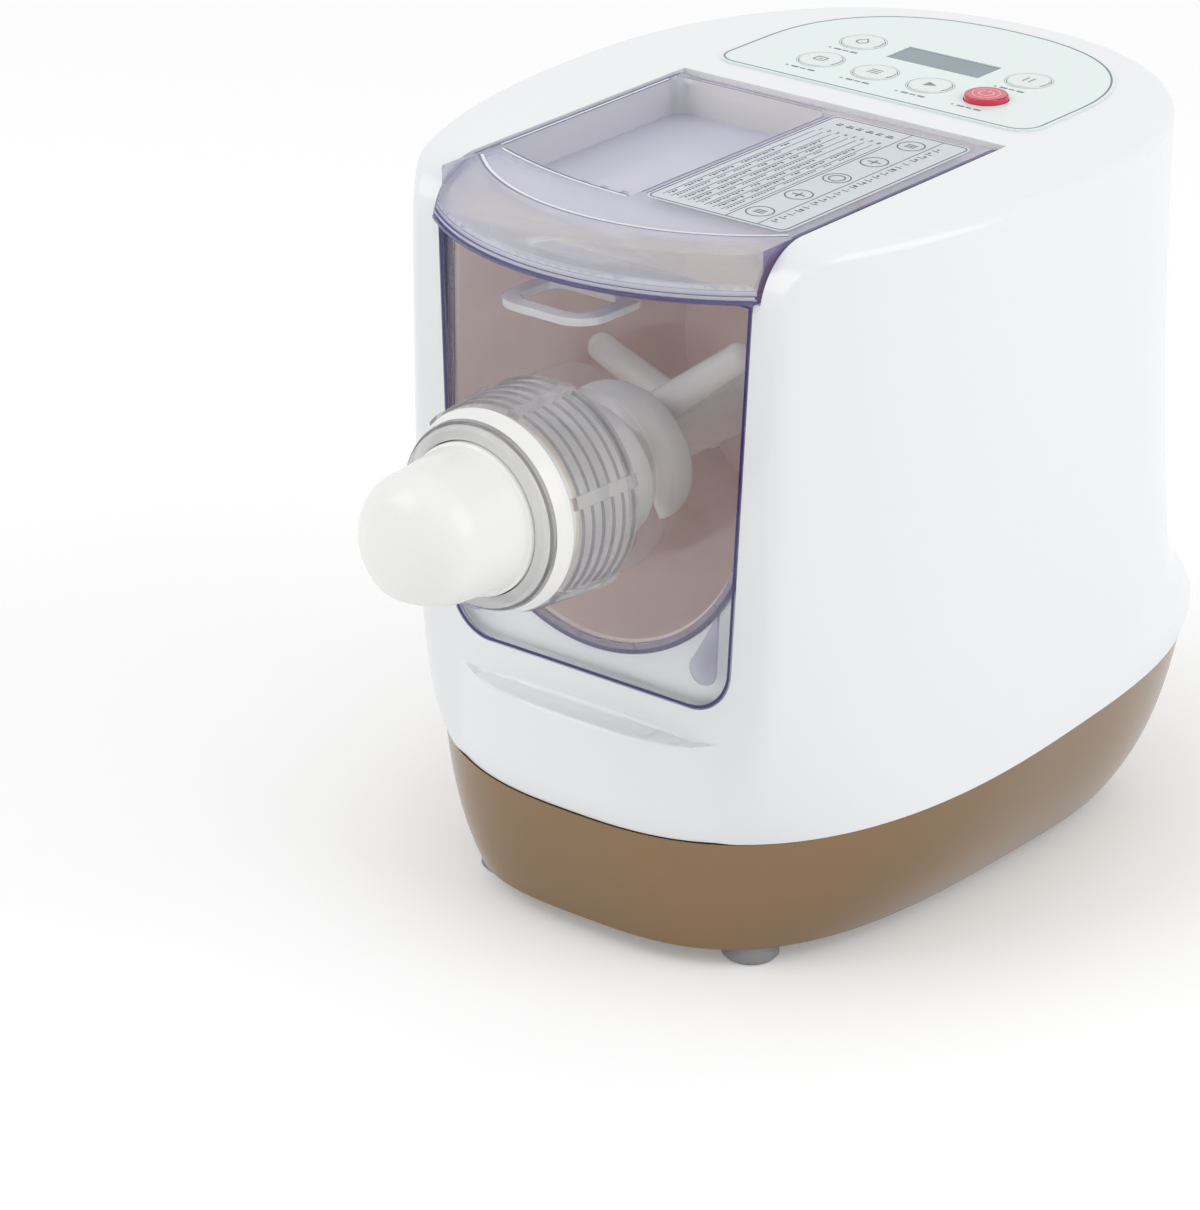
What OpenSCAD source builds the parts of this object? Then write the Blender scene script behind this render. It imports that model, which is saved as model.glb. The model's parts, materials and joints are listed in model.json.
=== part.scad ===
// Electric pasta maker: a motor behind a mixing chamber turns one shaft that
// carries a stirring paddle and an auger. The auger pushes dough through a die
// that a clear nut holds on the outlet of a clear front panel.
//
// Frame: millimetres, +Z up, front of the machine towards -Y, origin on the
// table under the middle of the overall length and width.

/* [Housing] */
// Height of the crown above the table
body_h = 307.5; // [295:0.5:325]
// Slope of the crown, which falls towards the front
crown_tilt = 1.25; // [0.5:0.25:2]
// How much the crown stands in from the seam on each side
crown_in = 2; // [0:0.5:4]
// Crown centre to the tip of its front oval
crown_front = 198; // [190:1:205]
// Crown centre to its rear edge
crown_back = 147; // [140:0.5:150]
// Centre of the crown oval behind the origin
crown_y = 47; // [44:1:50]
// Half of the width at the seam with the base
seam_half = 128; // [127:0.5:132]
// Seam centre to its front edge
seam_front = 166.4; // [162:0.2:168]
// Seam centre to its rear edge
seam_back = 157.4; // [154:0.2:162]
// Centre of the seam oval behind the origin
seam_y = 54.7; // [52:0.1:57]
// Seam height at the front edge
seam_z = 56.5; // [52:0.5:60]
// Rise of the seam from front to rear
seam_rise = 25.8; // [20:0.2:28]
// Wall of the moulded shells
wall = 3; // [2.4:0.1:3.2]
// Rounding of the crown edge
crown_r = 5; // [4:0.5:7]
// Front face plane
face_y = -100; // [-102:1:-96]
// Height of the ledge under the front face
ledge_z = 98; // [94:1:102]
// How far the front under the ledge bows out from the face
front_bow = 12.5; // [10:0.5:15]
// Half of the width of that bow
bow_half = 64; // [58:1:68]
// Rounding between crown and front face
brow_r = 26; // [22:1:30]

/* [Base] */
// Height of the rubber feet
foot_h = 8; // [6:1:10]
// Radius of the rubber feet
foot_r = 11.5; // [10:0.5:13]
// Half of the width of the flat underside
under_half = 97; // [92:1:102]
// Underside centre to its front edge
under_front = 158; // [150:1:160]
// Underside centre to its rear edge
under_back = 130; // [122:1:140]

/* [Window and panel] */
// Half of the panel width at its top
panel_half = 76; // [75:0.1:76.2]
// Half of the panel width at its bottom
panel_half_low = 69.6; // [68:0.1:72]
// Height of the panel's bottom edge
panel_low = 112; // [110:0.5:114]
// Crown down to the top edge of the panel
panel_drop = 27; // [26.5:0.5:28.5]
// Thickness of the clear panel
panel_t = 3; // [2.6:0.1:3.2]
// Rounding of the panel's bottom corners
panel_r = 20; // [14:1:24]
// Gap round the panel
panel_gap = 0.4; // [0.3:0.05:0.6]
// Width of the finger loop
tab_w = 47; // [42:1:54]
// Reach of the finger loop
tab_reach = 33; // [28:1:36]

/* [Chamber] */
// Height of the drive axis
axis_z = 198; // [196:0.5:200]
// Inner radius of the chamber trough
chamber_r = 70.5; // [69:0.5:71]
// Wall of the chamber
chamber_wall = 2.5; // [2:0.1:3]
// Inner face of the chamber's rear wall
chamber_back = 48; // [46:1:49]

/* [Outlet] */
// Inner radius of the outlet tube
tube_r = 30.5; // [30:0.25:31.5]
// Outer radius of the outlet tube
tube_outer_r = 37; // [36:0.25:38]
// Length of the outlet tube in front of the face
tube_len = 50.5; // [48:0.5:53]
// Radius of the nut over its ridges
nut_r = 44.5; // [43:0.5:46]
// Length of the nut
nut_len = 46.3; // [44:0.1:48]
// Number of grip ridges on the nut
nut_ridges = 6; // [5:1:8]
// Radius of the die where it leaves the nut
die_r = 29; // [27:0.5:30]
// Length of the die in front of the nut
die_len = 45.5; // [42:0.1:50]
// Diameter of one pasta hole
hole_d = 2.8; // [2.2:0.1:3.2]
// Holes in each row
hole_count = 8; // [5:1:9]
// Rows of holes
hole_rows = 4; // [2:1:5]

/* [Auger and paddle] */
// Outer radius of the auger flight
auger_r = 29.7; // [28.5:0.1:29.8]
// Radius of the auger core
auger_core = 13; // [12:0.5:15]
// Length of the auger
auger_len = 76; // [70:1:80]
// Advance of the flight in one turn
auger_pitch = 24; // [20:1:30]
// Reach of the paddle arms
paddle_r = 65; // [60:0.5:67]

/* [Lid] */
// Half of the lid width
lid_half = 77.6; // [76.6:0.1:78]
// Rear edge of the lid
lid_back = 54.4; // [52:0.1:55]
// Radius of the lid's curved front edge, in plan
lip_r = 126; // [118:1:140]
// Crown down to the lower edge of the lip
lip_drop = 20; // [18.5:0.5:21]
// Wall of the clear lid
lid_t = 2.6; // [2.2:0.1:3]
// Depth of the water tray
tray_depth = 15; // [12:0.5:16]
// Radius of the hinge pins
hinge_r = 1.6; // [1.4:0.1:1.8]

/* [Controls] */
// Half of the control fascia width
fascia_half = 78.5; // [74:0.5:82]
// Front edge of the fascia
fascia_y = 72; // [70:1:74]
// Start of the fascia's rear curve
fascia_mid = 108; // [104:1:112]
// Depth of the fascia's rear curve
fascia_deep = 70; // [66:1:72]
// Thickness of the fascia sheet
fascia_t = 0.8; // [0.6:0.1:1]
// Diameter of the buttons
button_d = 17.8; // [16:0.2:18.6]
// Pitch of the front row of buttons
button_pitch = 27.3; // [26:0.1:28]
// Height of the ordinary buttons above the fascia
button_rise = 0.5; // [0.3:0.1:1]
// Height of the power button above the fascia
power_rise = 2.4; // [1.5:0.1:3]
// Travel of a button
button_travel = 1.2; // [0.8:0.1:1.4]
// Width of the display
display_w = 45.8; // [42:0.2:48]
// Depth of the display
display_d = 17.2; // [15:0.2:18]

/* [Gear train] */
// Module of the output stage
mod_out = 1.5; // [1.4:0.05:1.6]
// Teeth of the output gear
teeth_out = 60; // [56:1:62]
// Teeth of the countershaft pinion
teeth_mid = 14; // [13:1:15]
// Module of the input stage
mod_in = 1; // [0.95:0.05:1.05]
// Teeth of the countershaft wheel
teeth_in = 56; // [52:1:58]
// Teeth of the motor pinion
teeth_motor = 12; // [12:1:14]
// Radius of the drive shaft in its bearings
shaft_r = 8; // [7:0.5:8.5]
// Radius of the motor can
motor_r = 33; // [30:0.5:34]
// Length of the motor can
motor_len = 62; // [56:1:66]

/* [Hidden] */
$fn = 64;

run_fit = 0.05;                 // radial clearance of a shaft in its hole
play = 0.3;                     // gap between pieces that move past each other
seam_gap = 0.4;                 // shadow gap between housing and base
lap = 0.01;                     // overrun of a cut past the face it leaves

// Levels that several pieces share
crown_half = seam_half - crown_in;
panel_top = body_h - panel_drop;
lip_z = body_h - lip_drop;
seat_z = lid_z() - 18;          // chamber flange under the lid
seal_t = 1.8;                   // thickness of the panel seal
recess = panel_t + seal_t + 0.2;    // depth of the pocket that holds the panel
floor_z = foot_h + wall;        // inside of the base
case_y = chamber_back + 12;     // front of the gearbox
case_t = 4;                     // front wall of the gearbox
case_deep = 34;                 // gearbox depth
cover_y = case_y + case_deep;   // front of the gearbox cover
cover_t = 3;
motor_y = cover_y + cover_t;    // front of the motor
mid_z = axis_z - mod_out * (teeth_out + teeth_mid) / 2;
motor_z = mid_z - mod_in * (teeth_in + teeth_motor) / 2;
tube_end = face_y - tube_len;
nut_back = face_y - 22.7;
nut_front = nut_back - nut_len;
gasket_t = 1.8;
flange_t = 3.6;
die_back = tube_end - gasket_t;
die_nose = nut_front - die_len;
board_z = body_h - 19;          // underside of the control board
board_t = 1.6;
display_y = fascia_y + 53.3;
row_y = fascia_y + 25;
pair_y = fascia_y + 54.4;
pair_x = 41.2;
barrel_r = 3.4;                 // hinge barrel of the lid
hinge_y = lid_back - barrel_r;
hinge_z = lid_z() - barrel_r;
button_hole_r = button_d / 2 + play;

function lid_z() = body_h - 0.4;
function mix(a, b, t) = a + (b - a) * t;
function bend(c, p) = sign(c) * pow(abs(c), p);

// The crown is a plane that falls towards the front, and what sits on it is drawn level and then tilted
crown_pivot = 170;
function top_at(y) = body_h + (y - crown_pivot) * tan(crown_tilt);
module on_top() translate([0, crown_pivot, body_h]) rotate([crown_tilt, 0, 0])
    translate([0, -crown_pivot, -body_h]) children();

// One point of an oval whose front and rear halves have their own reach
function oval(a, half, front, back, n) =
    [half * bend(cos(a), 2 / n), (sin(a) < 0 ? front : back) * bend(sin(a), 2 / n)];

// Height of the seam line, which climbs quickly at first and then levels off
seam_len = seam_front + seam_back;
function seam_at(y) = let (s = (y - (seam_y - seam_front)) / seam_len)
    seam_z + seam_rise * s * (1.75 - 0.75 * s);

// How far the side has flared out at level v. Towards the rear there is a soft hip just above the seam
hip_v = 0.035;
hip = 0.5;
hip_spread = 0.04;
toe = 0.34;
function ease(t) = let (u = min(max(t, 0), 1)) u * u * (3 - 2 * u);
function flare(v, a) = (1.18 - hip) * pow(1 - v, 2.3)
    + mix(toe * pow(1 - v, 9), hip * exp(-pow((v - hip_v) / hip_spread, 2) / 2), ease((sin(a) + 0.3) / 0.8));
crown_n = 2.2;                  // squareness of the ovals at the crown, the seam and the underside
seam_n = 2.6;
under_n = 3.1;

// A ring of the housing: v is 0 at the seam and 1 at the crown
ring_n = 56;
function body_ring(v, inset, drop = 0) = [for (i = [0:ring_n - 1])
    let (a = i * 360 / ring_n,
         f = v == 1 ? 0 : flare(v, a),
         p = oval(a, mix(crown_half, seam_half, f) - inset, mix(crown_front, seam_front, f) - inset,
            mix(crown_back, seam_back, f) - inset, mix(crown_n, seam_n, f)),
         y = p[1] + mix(crown_y, seam_y, f))
    [p[0], y, mix(seam_at(y), top_at(y), v) - drop]];

// A ring of the base: w is 0 at the seam and 1 at the flat underside
function base_ring(w, inset, lift = 0) =
    let (g = mix(w, w * w * w, 0.46))
    [for (i = [0:ring_n - 1])
        let (p = oval(i * 360 / ring_n, mix(seam_half - 1, under_half, g) - inset,
                mix(seam_front - 1, under_front, g) - inset, mix(seam_back - 1, under_back, g) - inset,
                mix(seam_n, under_n, g)),
             y = p[1] + seam_y)
        [p[0], y, mix(seam_at(y) - seam_gap, foot_h, w) + lift]];

function total(list, i = 0) = i == len(list) - 1 ? list[i] : list[i] + total(list, i + 1);
function centre_of(ring) = total(ring) / len(ring);

// Closed skin through a stack of rings, listed from the bottom up
module loft(rings) {
    n = len(rings[0]);
    m = len(rings);
    pts = [for (r = rings) each r, centre_of(rings[0]), centre_of(rings[m - 1])];
    sides = [for (k = [0:m - 2]) for (i = [0:n - 1])
        let (j = (i + 1) % n, a = k * n + i, b = k * n + j, c = b + n, d = a + n)
        each [[a, d, c], [a, c, b]]];
    low = [for (i = [0:n - 1]) [m * n, i, (i + 1) % n]];
    high = [for (i = [0:n - 1]) [m * n + 1, (m - 1) * n + (i + 1) % n, (m - 1) * n + i]];
    polyhedron(points = pts, faces = concat(sides, low, high), convexity = 6);
}

// Flat outline in X and Z, made solid from y0 over a length
module slab_y(y0, len) translate([0, y0 + len, 0]) rotate([90, 0, 0]) linear_extrude(len) children();
// Outline in Y and Z, made solid across X
module slab_x(x0, len) translate([x0, 0, 0]) rotate([90, 0, 90]) linear_extrude(len) children();
// Profile of radius and Y, turned round a line at height z
module turned(z = axis_z, x = 0) translate([x, 0, z]) rotate([-90, 0, 0]) rotate_extrude() children();
module rod_y(r, y0, len, z = axis_z, x = 0)
    translate([x, y0, z]) rotate([-90, 0, 0]) cylinder(r = r, h = len);
module rod_x(r, x0, len, y, z) translate([x0, y, z]) rotate([0, 90, 0]) cylinder(r = r, h = len);
module block(x0, x1, y0, y1, z0, z1) translate([x0, y0, z0]) cube([x1 - x0, y1 - y0, z1 - z0]);

// Rectangle between two corners, with round corners
module round_rect(x0, x1, y0, y1, r) {
    translate([x0 + r, y0]) square([x1 - x0 - 2 * r, y1 - y0]);
    translate([x0, y0 + r]) square([x1 - x0, y1 - y0 - 2 * r]);
    for (x = [x0 + r, x1 - r], y = [y0 + r, y1 - r]) translate([x, y]) circle(r);
}

// ---- Housing -------------------------------------------------------------

// Everything in front of the face: a cut with round lower corners and a round brow
ledge_r = 36;
module face_cut(inset) {
    low = ledge_z - inset;
    half = 46;
    brow_z = top_at(face_y + brow_r) - brow_r;
    slab_y(-300, 300 + face_y + inset) {
        translate([-half, low]) square([2 * half, body_h]);
        for (x = [-half, half]) translate([x, low + ledge_r]) circle(ledge_r);
        polygon([[-half - ledge_r, low + ledge_r], [half + ledge_r, low + ledge_r],
            [half + ledge_r + 13, body_h + 20], [-half - ledge_r - 13, body_h + 20]]);
    }
    slab_x(-200, 400) difference() {
        translate([face_y + inset - 1, brow_z]) square([brow_r + 1 - inset, brow_r + 10]);
        translate([face_y + brow_r, brow_z]) circle(brow_r - inset);
    }
}

// Everything in front of the bowed wall under the ledge
module bow_cut(inset) translate([0, inset]) linear_extrude(body_h) polygon(concat(
    [[seam_half, -300], [-seam_half, -300], [-seam_half, face_y]],
    [for (k = [-16:16]) [k / 16 * bow_half, face_y - front_bow * (1 - pow(abs(k / 16), 3))]],
    [[seam_half, face_y]]));

module housing_form(inset, low_v) {
    edge = crown_r - inset / 2;
    difference() {
        loft(concat(
            low_v ? [body_ring(0, inset, 8)] : [],
            [for (v = [0, 0.02, 0.04, 0.07, 0.1, 0.15, 0.24, 0.4, 0.65, 0.97]) body_ring(v, inset)],
            [for (a = [0:30:90]) body_ring(1, inset + edge * (1 - cos(a)), inset + edge * (1 - sin(a)))]));
        face_cut(inset);
        bow_cut(inset);
    }
}

// Panel outline: wider at the top, round at the bottom corners
module panel_outline(grow = 0, top = panel_top) {
    low = panel_low - grow;
    r = panel_r + grow;
    half_low = panel_half_low + grow;
    slope = (panel_half - panel_half_low) / (panel_top - panel_low);
    translate([-half_low + r, low]) square([2 * (half_low - r), r + 1]);
    for (s = [-1, 1]) translate([s * (half_low - r), low + r]) circle(r);
    polygon([[-half_low, low + r], [half_low, low + r],
        [half_low + slope * (top - low), top], [-half_low - slope * (top - low), top]]);
}

// Trough outline: half round below the axis, straight walls above it
module trough_outline(r, top) {
    translate([0, axis_z]) circle(r, $fn = 96);
    translate([-r, axis_z]) square([2 * r, top - axis_z]);
}

module vent_slots(count, pitch, w, y, len, z0, z1)
    for (i = [0:count - 1]) block((i - (count - 1) / 2) * pitch - w / 2,
        (i - (count - 1) / 2) * pitch + w / 2, y, y + len, z0, z1);

boss_x = seam_half - 42;
boss_places = [for (x = [-boss_x, boss_x], y = [-18, 122]) [x, y]];
board_posts = [for (x = [-62, 62], y = [fascia_y + 10, fascia_y + 72]) [x, y]];
button_places = [[1.5 * button_pitch, row_y], [0.5 * button_pitch, row_y], [-0.5 * button_pitch, row_y],
    [-1.5 * button_pitch, row_y], [-pair_x, pair_y], [pair_x, pair_y]];
inlet_y = seam_y + seam_back - 12;
inlet_z = seam_z + seam_rise + 30;

module upper_housing() {
    reveal = 1.7;                   // gap round the lid, over the chamber's rim
    color("whitesmoke") difference() {
        union() {
            difference() {
                housing_form(0, false);
                housing_form(wall, true);
            }
            intersection() {
                housing_form(wall / 2, true);
                union() {
                    // walls and floor of the pocket behind the panel
                    slab_y(face_y + wall / 2, recess + wall / 2) difference() {
                        panel_outline(4, panel_top - 2);
                        trough_outline(chamber_r + chamber_wall + play, body_h);
                    }
                    // inlet well
                    block(-30, 30, inlet_y, inlet_y + 12, inlet_z - 17, inlet_z + 17);
                    // screw bosses, each tied to the side wall by a rib
                    for (p = boss_places) translate([p[0], p[1], seam_at(p[1]) + 2]) {
                        cylinder(r = 5, h = 40);
                        translate([p[0] > 0 ? 0 : -40, -wall / 2, 10]) cube([40, wall, 30]);
                    }
                }
            }
            on_top() {
                // hinge lugs under the crown
                for (s = [-1, 1]) translate([s * (lid_half + 9), 0, 0])
                    block(-4, 4, hinge_y - 6, hinge_y + 6, seat_z - 4, body_h - wall + 1);
                // posts that carry the control board
                for (p = board_posts) translate([p[0], p[1], board_z + board_t])
                    cylinder(r = 4, h = body_h - wall - board_z);
            }
        }
        // panel pocket, open to the lid above
        slab_y(face_y - 60, 60 + recess) panel_outline(panel_gap, body_h + 10);
        on_top() {
            // opening for the lid, and the notch for its lip
            block(-lid_half - reveal, lid_half + reveal, face_y - 60, lid_back + reveal, seat_z, body_h + 10);
            block(-lid_half - play, lid_half + play, face_y - 60, face_y + recess + play, lip_z - play,
                seat_z + 1);
            // holes over the keys and the display
            for (p = button_places) translate([p[0], p[1], body_h - 12]) cylinder(r = button_hole_r, h = 20);
            block(-display_w / 2, display_w / 2, display_y - display_d / 2, display_y + display_d / 2,
                body_h - 12, body_h + 10);
            // bores for the hinge pins and the board screws
            for (x = [-lid_half - 11, lid_half]) rod_x(hinge_r + run_fit, x, 11, hinge_y, hinge_z);
            for (p = board_posts) translate([p[0], p[1], board_z]) cylinder(r = 1.1, h = 12);
        }
        for (p = boss_places) translate([p[0], p[1], seam_at(p[1])]) cylinder(r = 1.7, h = 30);
        // rear vents and the hole for the inlet
        vent_slots(13, 6.5, 3, seam_y + 100, 80, 150, 205);
        block(-27, 27, inlet_y + 3, inlet_y + 30, inlet_z - 14, inlet_z + 14);
        block(-14, 14, inlet_y - 5, inlet_y + 10, inlet_z - 10.4, inlet_z + 10.4);
    }
}

// ---- Base ----------------------------------------------------------------

feet = [[-62, -73], [62, -73], [-68, 153], [68, 153]];

module base_form(inset, top) loft(concat(
    [for (w = [1, 0.93, 0.8, 0.6, 0.35, 0.12, 0]) base_ring(w, inset, w == 1 ? inset : 0)],
    top ? [base_ring(0, inset, 6)] : []));

module base_pan() {
    color("#9c9481") difference() {
        union() {
            difference() {
                base_form(0, false);
                base_form(wall, true);
            }
            // columns that take the housing screws
            intersection() {
                base_form(wall / 2, false);
                for (p = boss_places) translate([p[0], p[1], floor_z - 1])
                    cylinder(r = 6, h = seam_at(p[1]) - floor_z);
            }
            // pads under the chassis, the motor cradle and the power board
            block(-62, 62, case_y - 5, case_y + 19, floor_z - 1, floor_z + 3);
            for (p = cradle_pads) translate([p[0], p[1], floor_z - 1]) cylinder(r = 6, h = 4);
            for (p = supply_posts) translate([p[0], p[1], floor_z - 1]) cylinder(r = 3, h = 7);
        }
        for (p = boss_places) {
            translate([p[0], p[1], 0]) cylinder(r = 2.1, h = body_h);
            translate([p[0], p[1], 0]) cylinder(r = 3.9, h = seam_at(p[1]) - 10);
        }
        for (p = feet) translate([p[0], p[1], 0]) {
            cylinder(r = 4 + run_fit, h = 30);
            translate([0, 0, floor_z]) cylinder(r = 6, h = 30);
        }
        for (p = chassis_bolts) translate([p[0], p[1], 0]) cylinder(r = 1.7, h = 30);
        // slots that let air into the motor
        for (i = [-5:5]) block(-30, 30, seam_y + 36 + i * 6 - 1.5, seam_y + 36 + i * 6 + 1.5, 0, 30);
    }
}

module rubber_feet() color("darkgray") for (p = feet) translate([p[0], p[1], 0]) {
    rotate_extrude() polygon([[0, 0], [foot_r - 1.5, 0], [foot_r, 1.5], [foot_r - 0.6, foot_h], [4, foot_h],
        [4, floor_z + play], [5.2, floor_z + play], [4, floor_z + 4], [0, floor_z + 4]]);
}

module screw(length, head_r = 3.4, head_h = 2.2, shank_r = 1.6) {
    difference() {
        union() {
            cylinder(r = shank_r, h = length + lap);
            translate([0, 0, -head_h]) cylinder(r = head_r, h = head_h);
        }
        for (a = [0, 90]) rotate(a) translate([-head_r * 0.6, -0.4, -head_h - lap])
            cube([head_r * 1.2, 0.8, 1.2]);
    }
}

module base_screws() color("silver") for (p = boss_places)
    translate([p[0], p[1], seam_at(p[1]) - 10]) screw(34);

// ---- Controls ------------------------------------------------------------

module fascia_outline(grow = 0) {
    half = fascia_half + grow;
    round_rect(-half, half, fascia_y - grow, fascia_mid, 11);
    translate([-half, fascia_mid - 12]) square([2 * half, 12]);
    polygon([for (i = [0:48]) let (p = oval(i * 180 / 48, half, 1, fascia_deep + grow, 2.3))
        [p[0], p[1] + fascia_mid - lap]]);
}

module fascia_plan() difference() {
    fascia_outline();
    for (p = button_places) translate(p) circle(button_hole_r);
    translate([-display_w / 2, display_y - display_d / 2]) square([display_w, display_d]);
}
module control_fascia() color("honeydew") on_top() translate([0, 0, body_h]) linear_extrude(fascia_t)
    fascia_plan();

module display_window() color("slategray") on_top() translate([0, display_y, body_h - 1.2])
    linear_extrude(1.2 + fascia_t / 2) square([display_w - 2 * play, display_d - 2 * play], center = true);

module lcd_module() color("darkslategray") on_top()
    block(-24, 24, display_y - 11, display_y + 11, board_z + board_t, body_h - wall - play);

module board_plan() difference() {
    round_rect(-69, 69, fascia_y + 2, fascia_y + 80, 3);
    for (p = board_posts) translate(p) circle(1.2);
}
module control_board() color("seagreen") on_top() translate([0, 0, board_z]) linear_extrude(board_t)
    board_plan();

module tact_switch() {
    translate([-3, -3, 0]) cube([6, 6, 3.5]);
    cylinder(r = 1.7, h = 4.4);
}
module tact_switches() color("dimgray") on_top() for (p = button_places)
    translate([p[0], p[1], board_z + board_t]) tact_switch();

module button(i, rise) on_top() translate([button_places[i][0], button_places[i][1], 0]) {
    top = body_h + fascia_t + rise;
    collar = body_h - wall - play;
    translate([0, 0, collar]) rotate_extrude() polygon([[0, 0], [button_d / 2, 0],
        [button_d / 2, top - collar - 0.5], [button_d / 2 - 0.5, top - collar], [0, top - collar]]);
    // collar that stops the button coming out, and the stem that meets its switch
    translate([0, 0, collar - 1.4]) cylinder(r = button_d / 2 + 1.6, h = 1.4);
    translate([0, 0, board_z + 6 + button_travel + play])
        cylinder(r = 3, h = collar - board_z - 7 - button_travel);
}

module button_power() color("crimson") button(0, power_rise);
module button_start() color("mintcream") button(1, button_rise);
module button_menu() color("mintcream") button(2, button_rise);
module button_weight() color("mintcream") button(3, button_rise);
module button_clean() color("mintcream") button(4, button_rise);
module button_pause() color("mintcream") button(5, button_rise);

// ---- Chamber and panel ---------------------------------------------------

rim_x = lid_half + play;        // inner face of the rim beside the lid
rim_t = 2;
chamber_front = face_y + recess + 0.5;
seal_bore = shaft_r + 4.6;

module mixing_chamber() color("rosybrown") difference() {
    union() {
        slab_y(chamber_front, chamber_back + chamber_wall - chamber_front)
            trough_outline(chamber_r + chamber_wall, seat_z);
        rod_y(seal_bore + 3, chamber_back, 5);
        // flange and rim round the lid opening
        on_top() block(-rim_x - rim_t, rim_x + rim_t, chamber_front, lid_back + play + rim_t, seat_z - 3,
            body_h - wall - play);
        // lugs that hang the chamber on the chassis
        for (x = [-67, 53]) block(x, x + 14, chamber_back, chassis_y - 0.2, seat_z - 22, seat_z - 5);
    }
    // trough, and the step the lid closes on
    slab_y(chamber_front - 1, chamber_back - chamber_front + 1) trough_outline(chamber_r, body_h);
    on_top() block(-rim_x, rim_x, chamber_front - 1, lid_back + play, seat_z, body_h);
    rod_y(seal_bore + run_fit, chamber_back - 1, 8);
    face_cut(wall + play);
    for (s = [-1, 1]) {
        on_top() block(s * (rim_x + 1) - 3, s * (rim_x + 1) + 3, hinge_y - 5.5, hinge_y + 5.5, seat_z + 1,
            body_h);
        rod_y(1.6, chassis_y - 6, 8, seat_z - 12, s * 60);
    }
}

module panel_seal() color("#3b2f7d") slab_y(face_y + panel_t + 0.1, seal_t) difference() {
    intersection() {
        trough_outline(chamber_r + 5.5, panel_top - 1);
        panel_outline();
    }
    trough_outline(chamber_r + 1.2, panel_top);
}

module finger_loop() {
    r = 13;
    bar = 7;
    translate([0, 0, panel_top - 13.2]) linear_extrude(3.2) difference() {
        round_rect(-tab_w / 2, tab_w / 2, face_y - tab_reach, face_y + r, r);
        round_rect(-tab_w / 2 + bar, tab_w / 2 - bar, face_y - tab_reach + bar, face_y - 1, r - bar + 1);
        translate([-tab_w, face_y]) square([2 * tab_w, 3 * r]);
    }
}

module front_panel() color("lavender", 0.45) {
    catch_x = panel_half_low - 12.6;
    difference() {
        union() {
            slab_y(face_y, panel_t) panel_outline();
            rod_y(tube_r + 11, face_y - 20, 20);
            rod_y(tube_outer_r, tube_end, tube_len);
            // drop shaped catches at the lower corners
            for (s = [-1, 1]) slab_y(face_y - 1.4, 2) {
                translate([s * catch_x, panel_low + 18]) circle(6.3);
                polygon([[s * catch_x - 6.2, panel_low + 19], [s * catch_x + 6.2, panel_low + 19],
                    [s * (catch_x + 7), panel_low + 43]]);
            }
            finger_loop();
        }
        rod_y(tube_r, tube_end - 1, tube_len + panel_t + 2);
    }
}

// ---- Outlet --------------------------------------------------------------

module nozzle_nut() color("white", 0.4) {
    back_r = nut_r - 2.3;
    front_r = 35.4;
    cone = 11;
    rib_pitch = 5.5;
    difference() {
        union() {
            turned() polygon(concat([[tube_r, nut_front], [front_r - 1, nut_front], [front_r, nut_front + 1],
                [front_r + 0.3, nut_front + 2.4], [front_r + 1.4, nut_front + 3],
                [front_r + 2, nut_front + 4.4], [back_r - 3, nut_front + cone - 0.8],
                [back_r - 2.4, nut_front + cone]],
                [for (k = [0:5]) let (y = nut_front + cone + 1 + k * rib_pitch, r = back_r - 2 + k * 0.35)
                    each [[r, y], [r, y + rib_pitch - 2.2], [r + 1.1, y + rib_pitch - 1.5],
                        [r + 1.1, y + rib_pitch - 0.7]]],
                [[back_r, nut_back], [tube_r, nut_back]]));
            // grip ridges
            for (i = [0:nut_ridges - 1]) translate([0, 0, axis_z]) rotate([0, i * 360 / nut_ridges + 13, 0])
                slab_x(-2.5, 5) polygon([[nut_back - 0.8, 36], [nut_back - 0.8, nut_r - 0.8],
                    [nut_back - 2, nut_r], [nut_front + cone + 2, nut_r - 2.8],
                    [nut_front + cone, nut_r - 5.5], [nut_front + cone, 36]]);
        }
        rod_y(tube_outer_r + 0.4, die_back - flange_t - play, 60);
        rod_y(die_r + 1.4, nut_front - 1, 60);
    }
}

module die_head() {
    land = 8;                   // solid nose in front of the hollow
    underside = axis_z - 0.7 * die_r;
    color("ivory") difference() {
        turned() polygon(concat(
            [[0, die_back], [tube_outer_r - 0.6, die_back], [tube_outer_r - 0.6, die_back - flange_t],
                [die_r + 1, die_back - flange_t], [die_r + 1, nut_front - 1.5], [die_r, nut_front - 2.5]],
            [for (a = [0:15:90]) [die_r - 15 + 10 * cos(a), die_nose + 10 - 10 * sin(a)]],
            [[0, die_nose]]));
        // hollow that feeds the holes
        turned() polygon([[0, die_back + 1], [tube_r - 1, die_back + 1], [tube_r - 1, die_back - 2],
            [die_r - 6.5, nut_front], [die_r - 15, die_nose + land], [0, die_nose + land - 2]]);
        // flat underside in front of the nut
        block(-60, 60, die_nose - 5, nut_front - 6, underside - 30, underside);
        for (i = [0:hole_count - 1], k = [0:hole_rows - 1])
            translate([(k - (hole_rows - 1) / 2) * 6, nut_front - 8.5 - i * 4, underside - 5])
                cylinder(d = hole_d, h = 0.7 * die_r + 5);
    }
}

module die_gasket() color("wheat") turned() polygon([
    [tube_r + 0.6, die_back + 0.1], [tube_outer_r - 0.8, die_back + 0.1],
    [tube_outer_r - 0.8, tube_end - 0.1], [tube_r + 0.6, tube_end - 0.1]]);

// ---- Auger, paddle and shaft ----------------------------------------------

auger_front = tube_end + 4;
auger_back = auger_front + auger_len;
hex_r = 6;
hex_hole = hex_r + run_fit;

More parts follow.
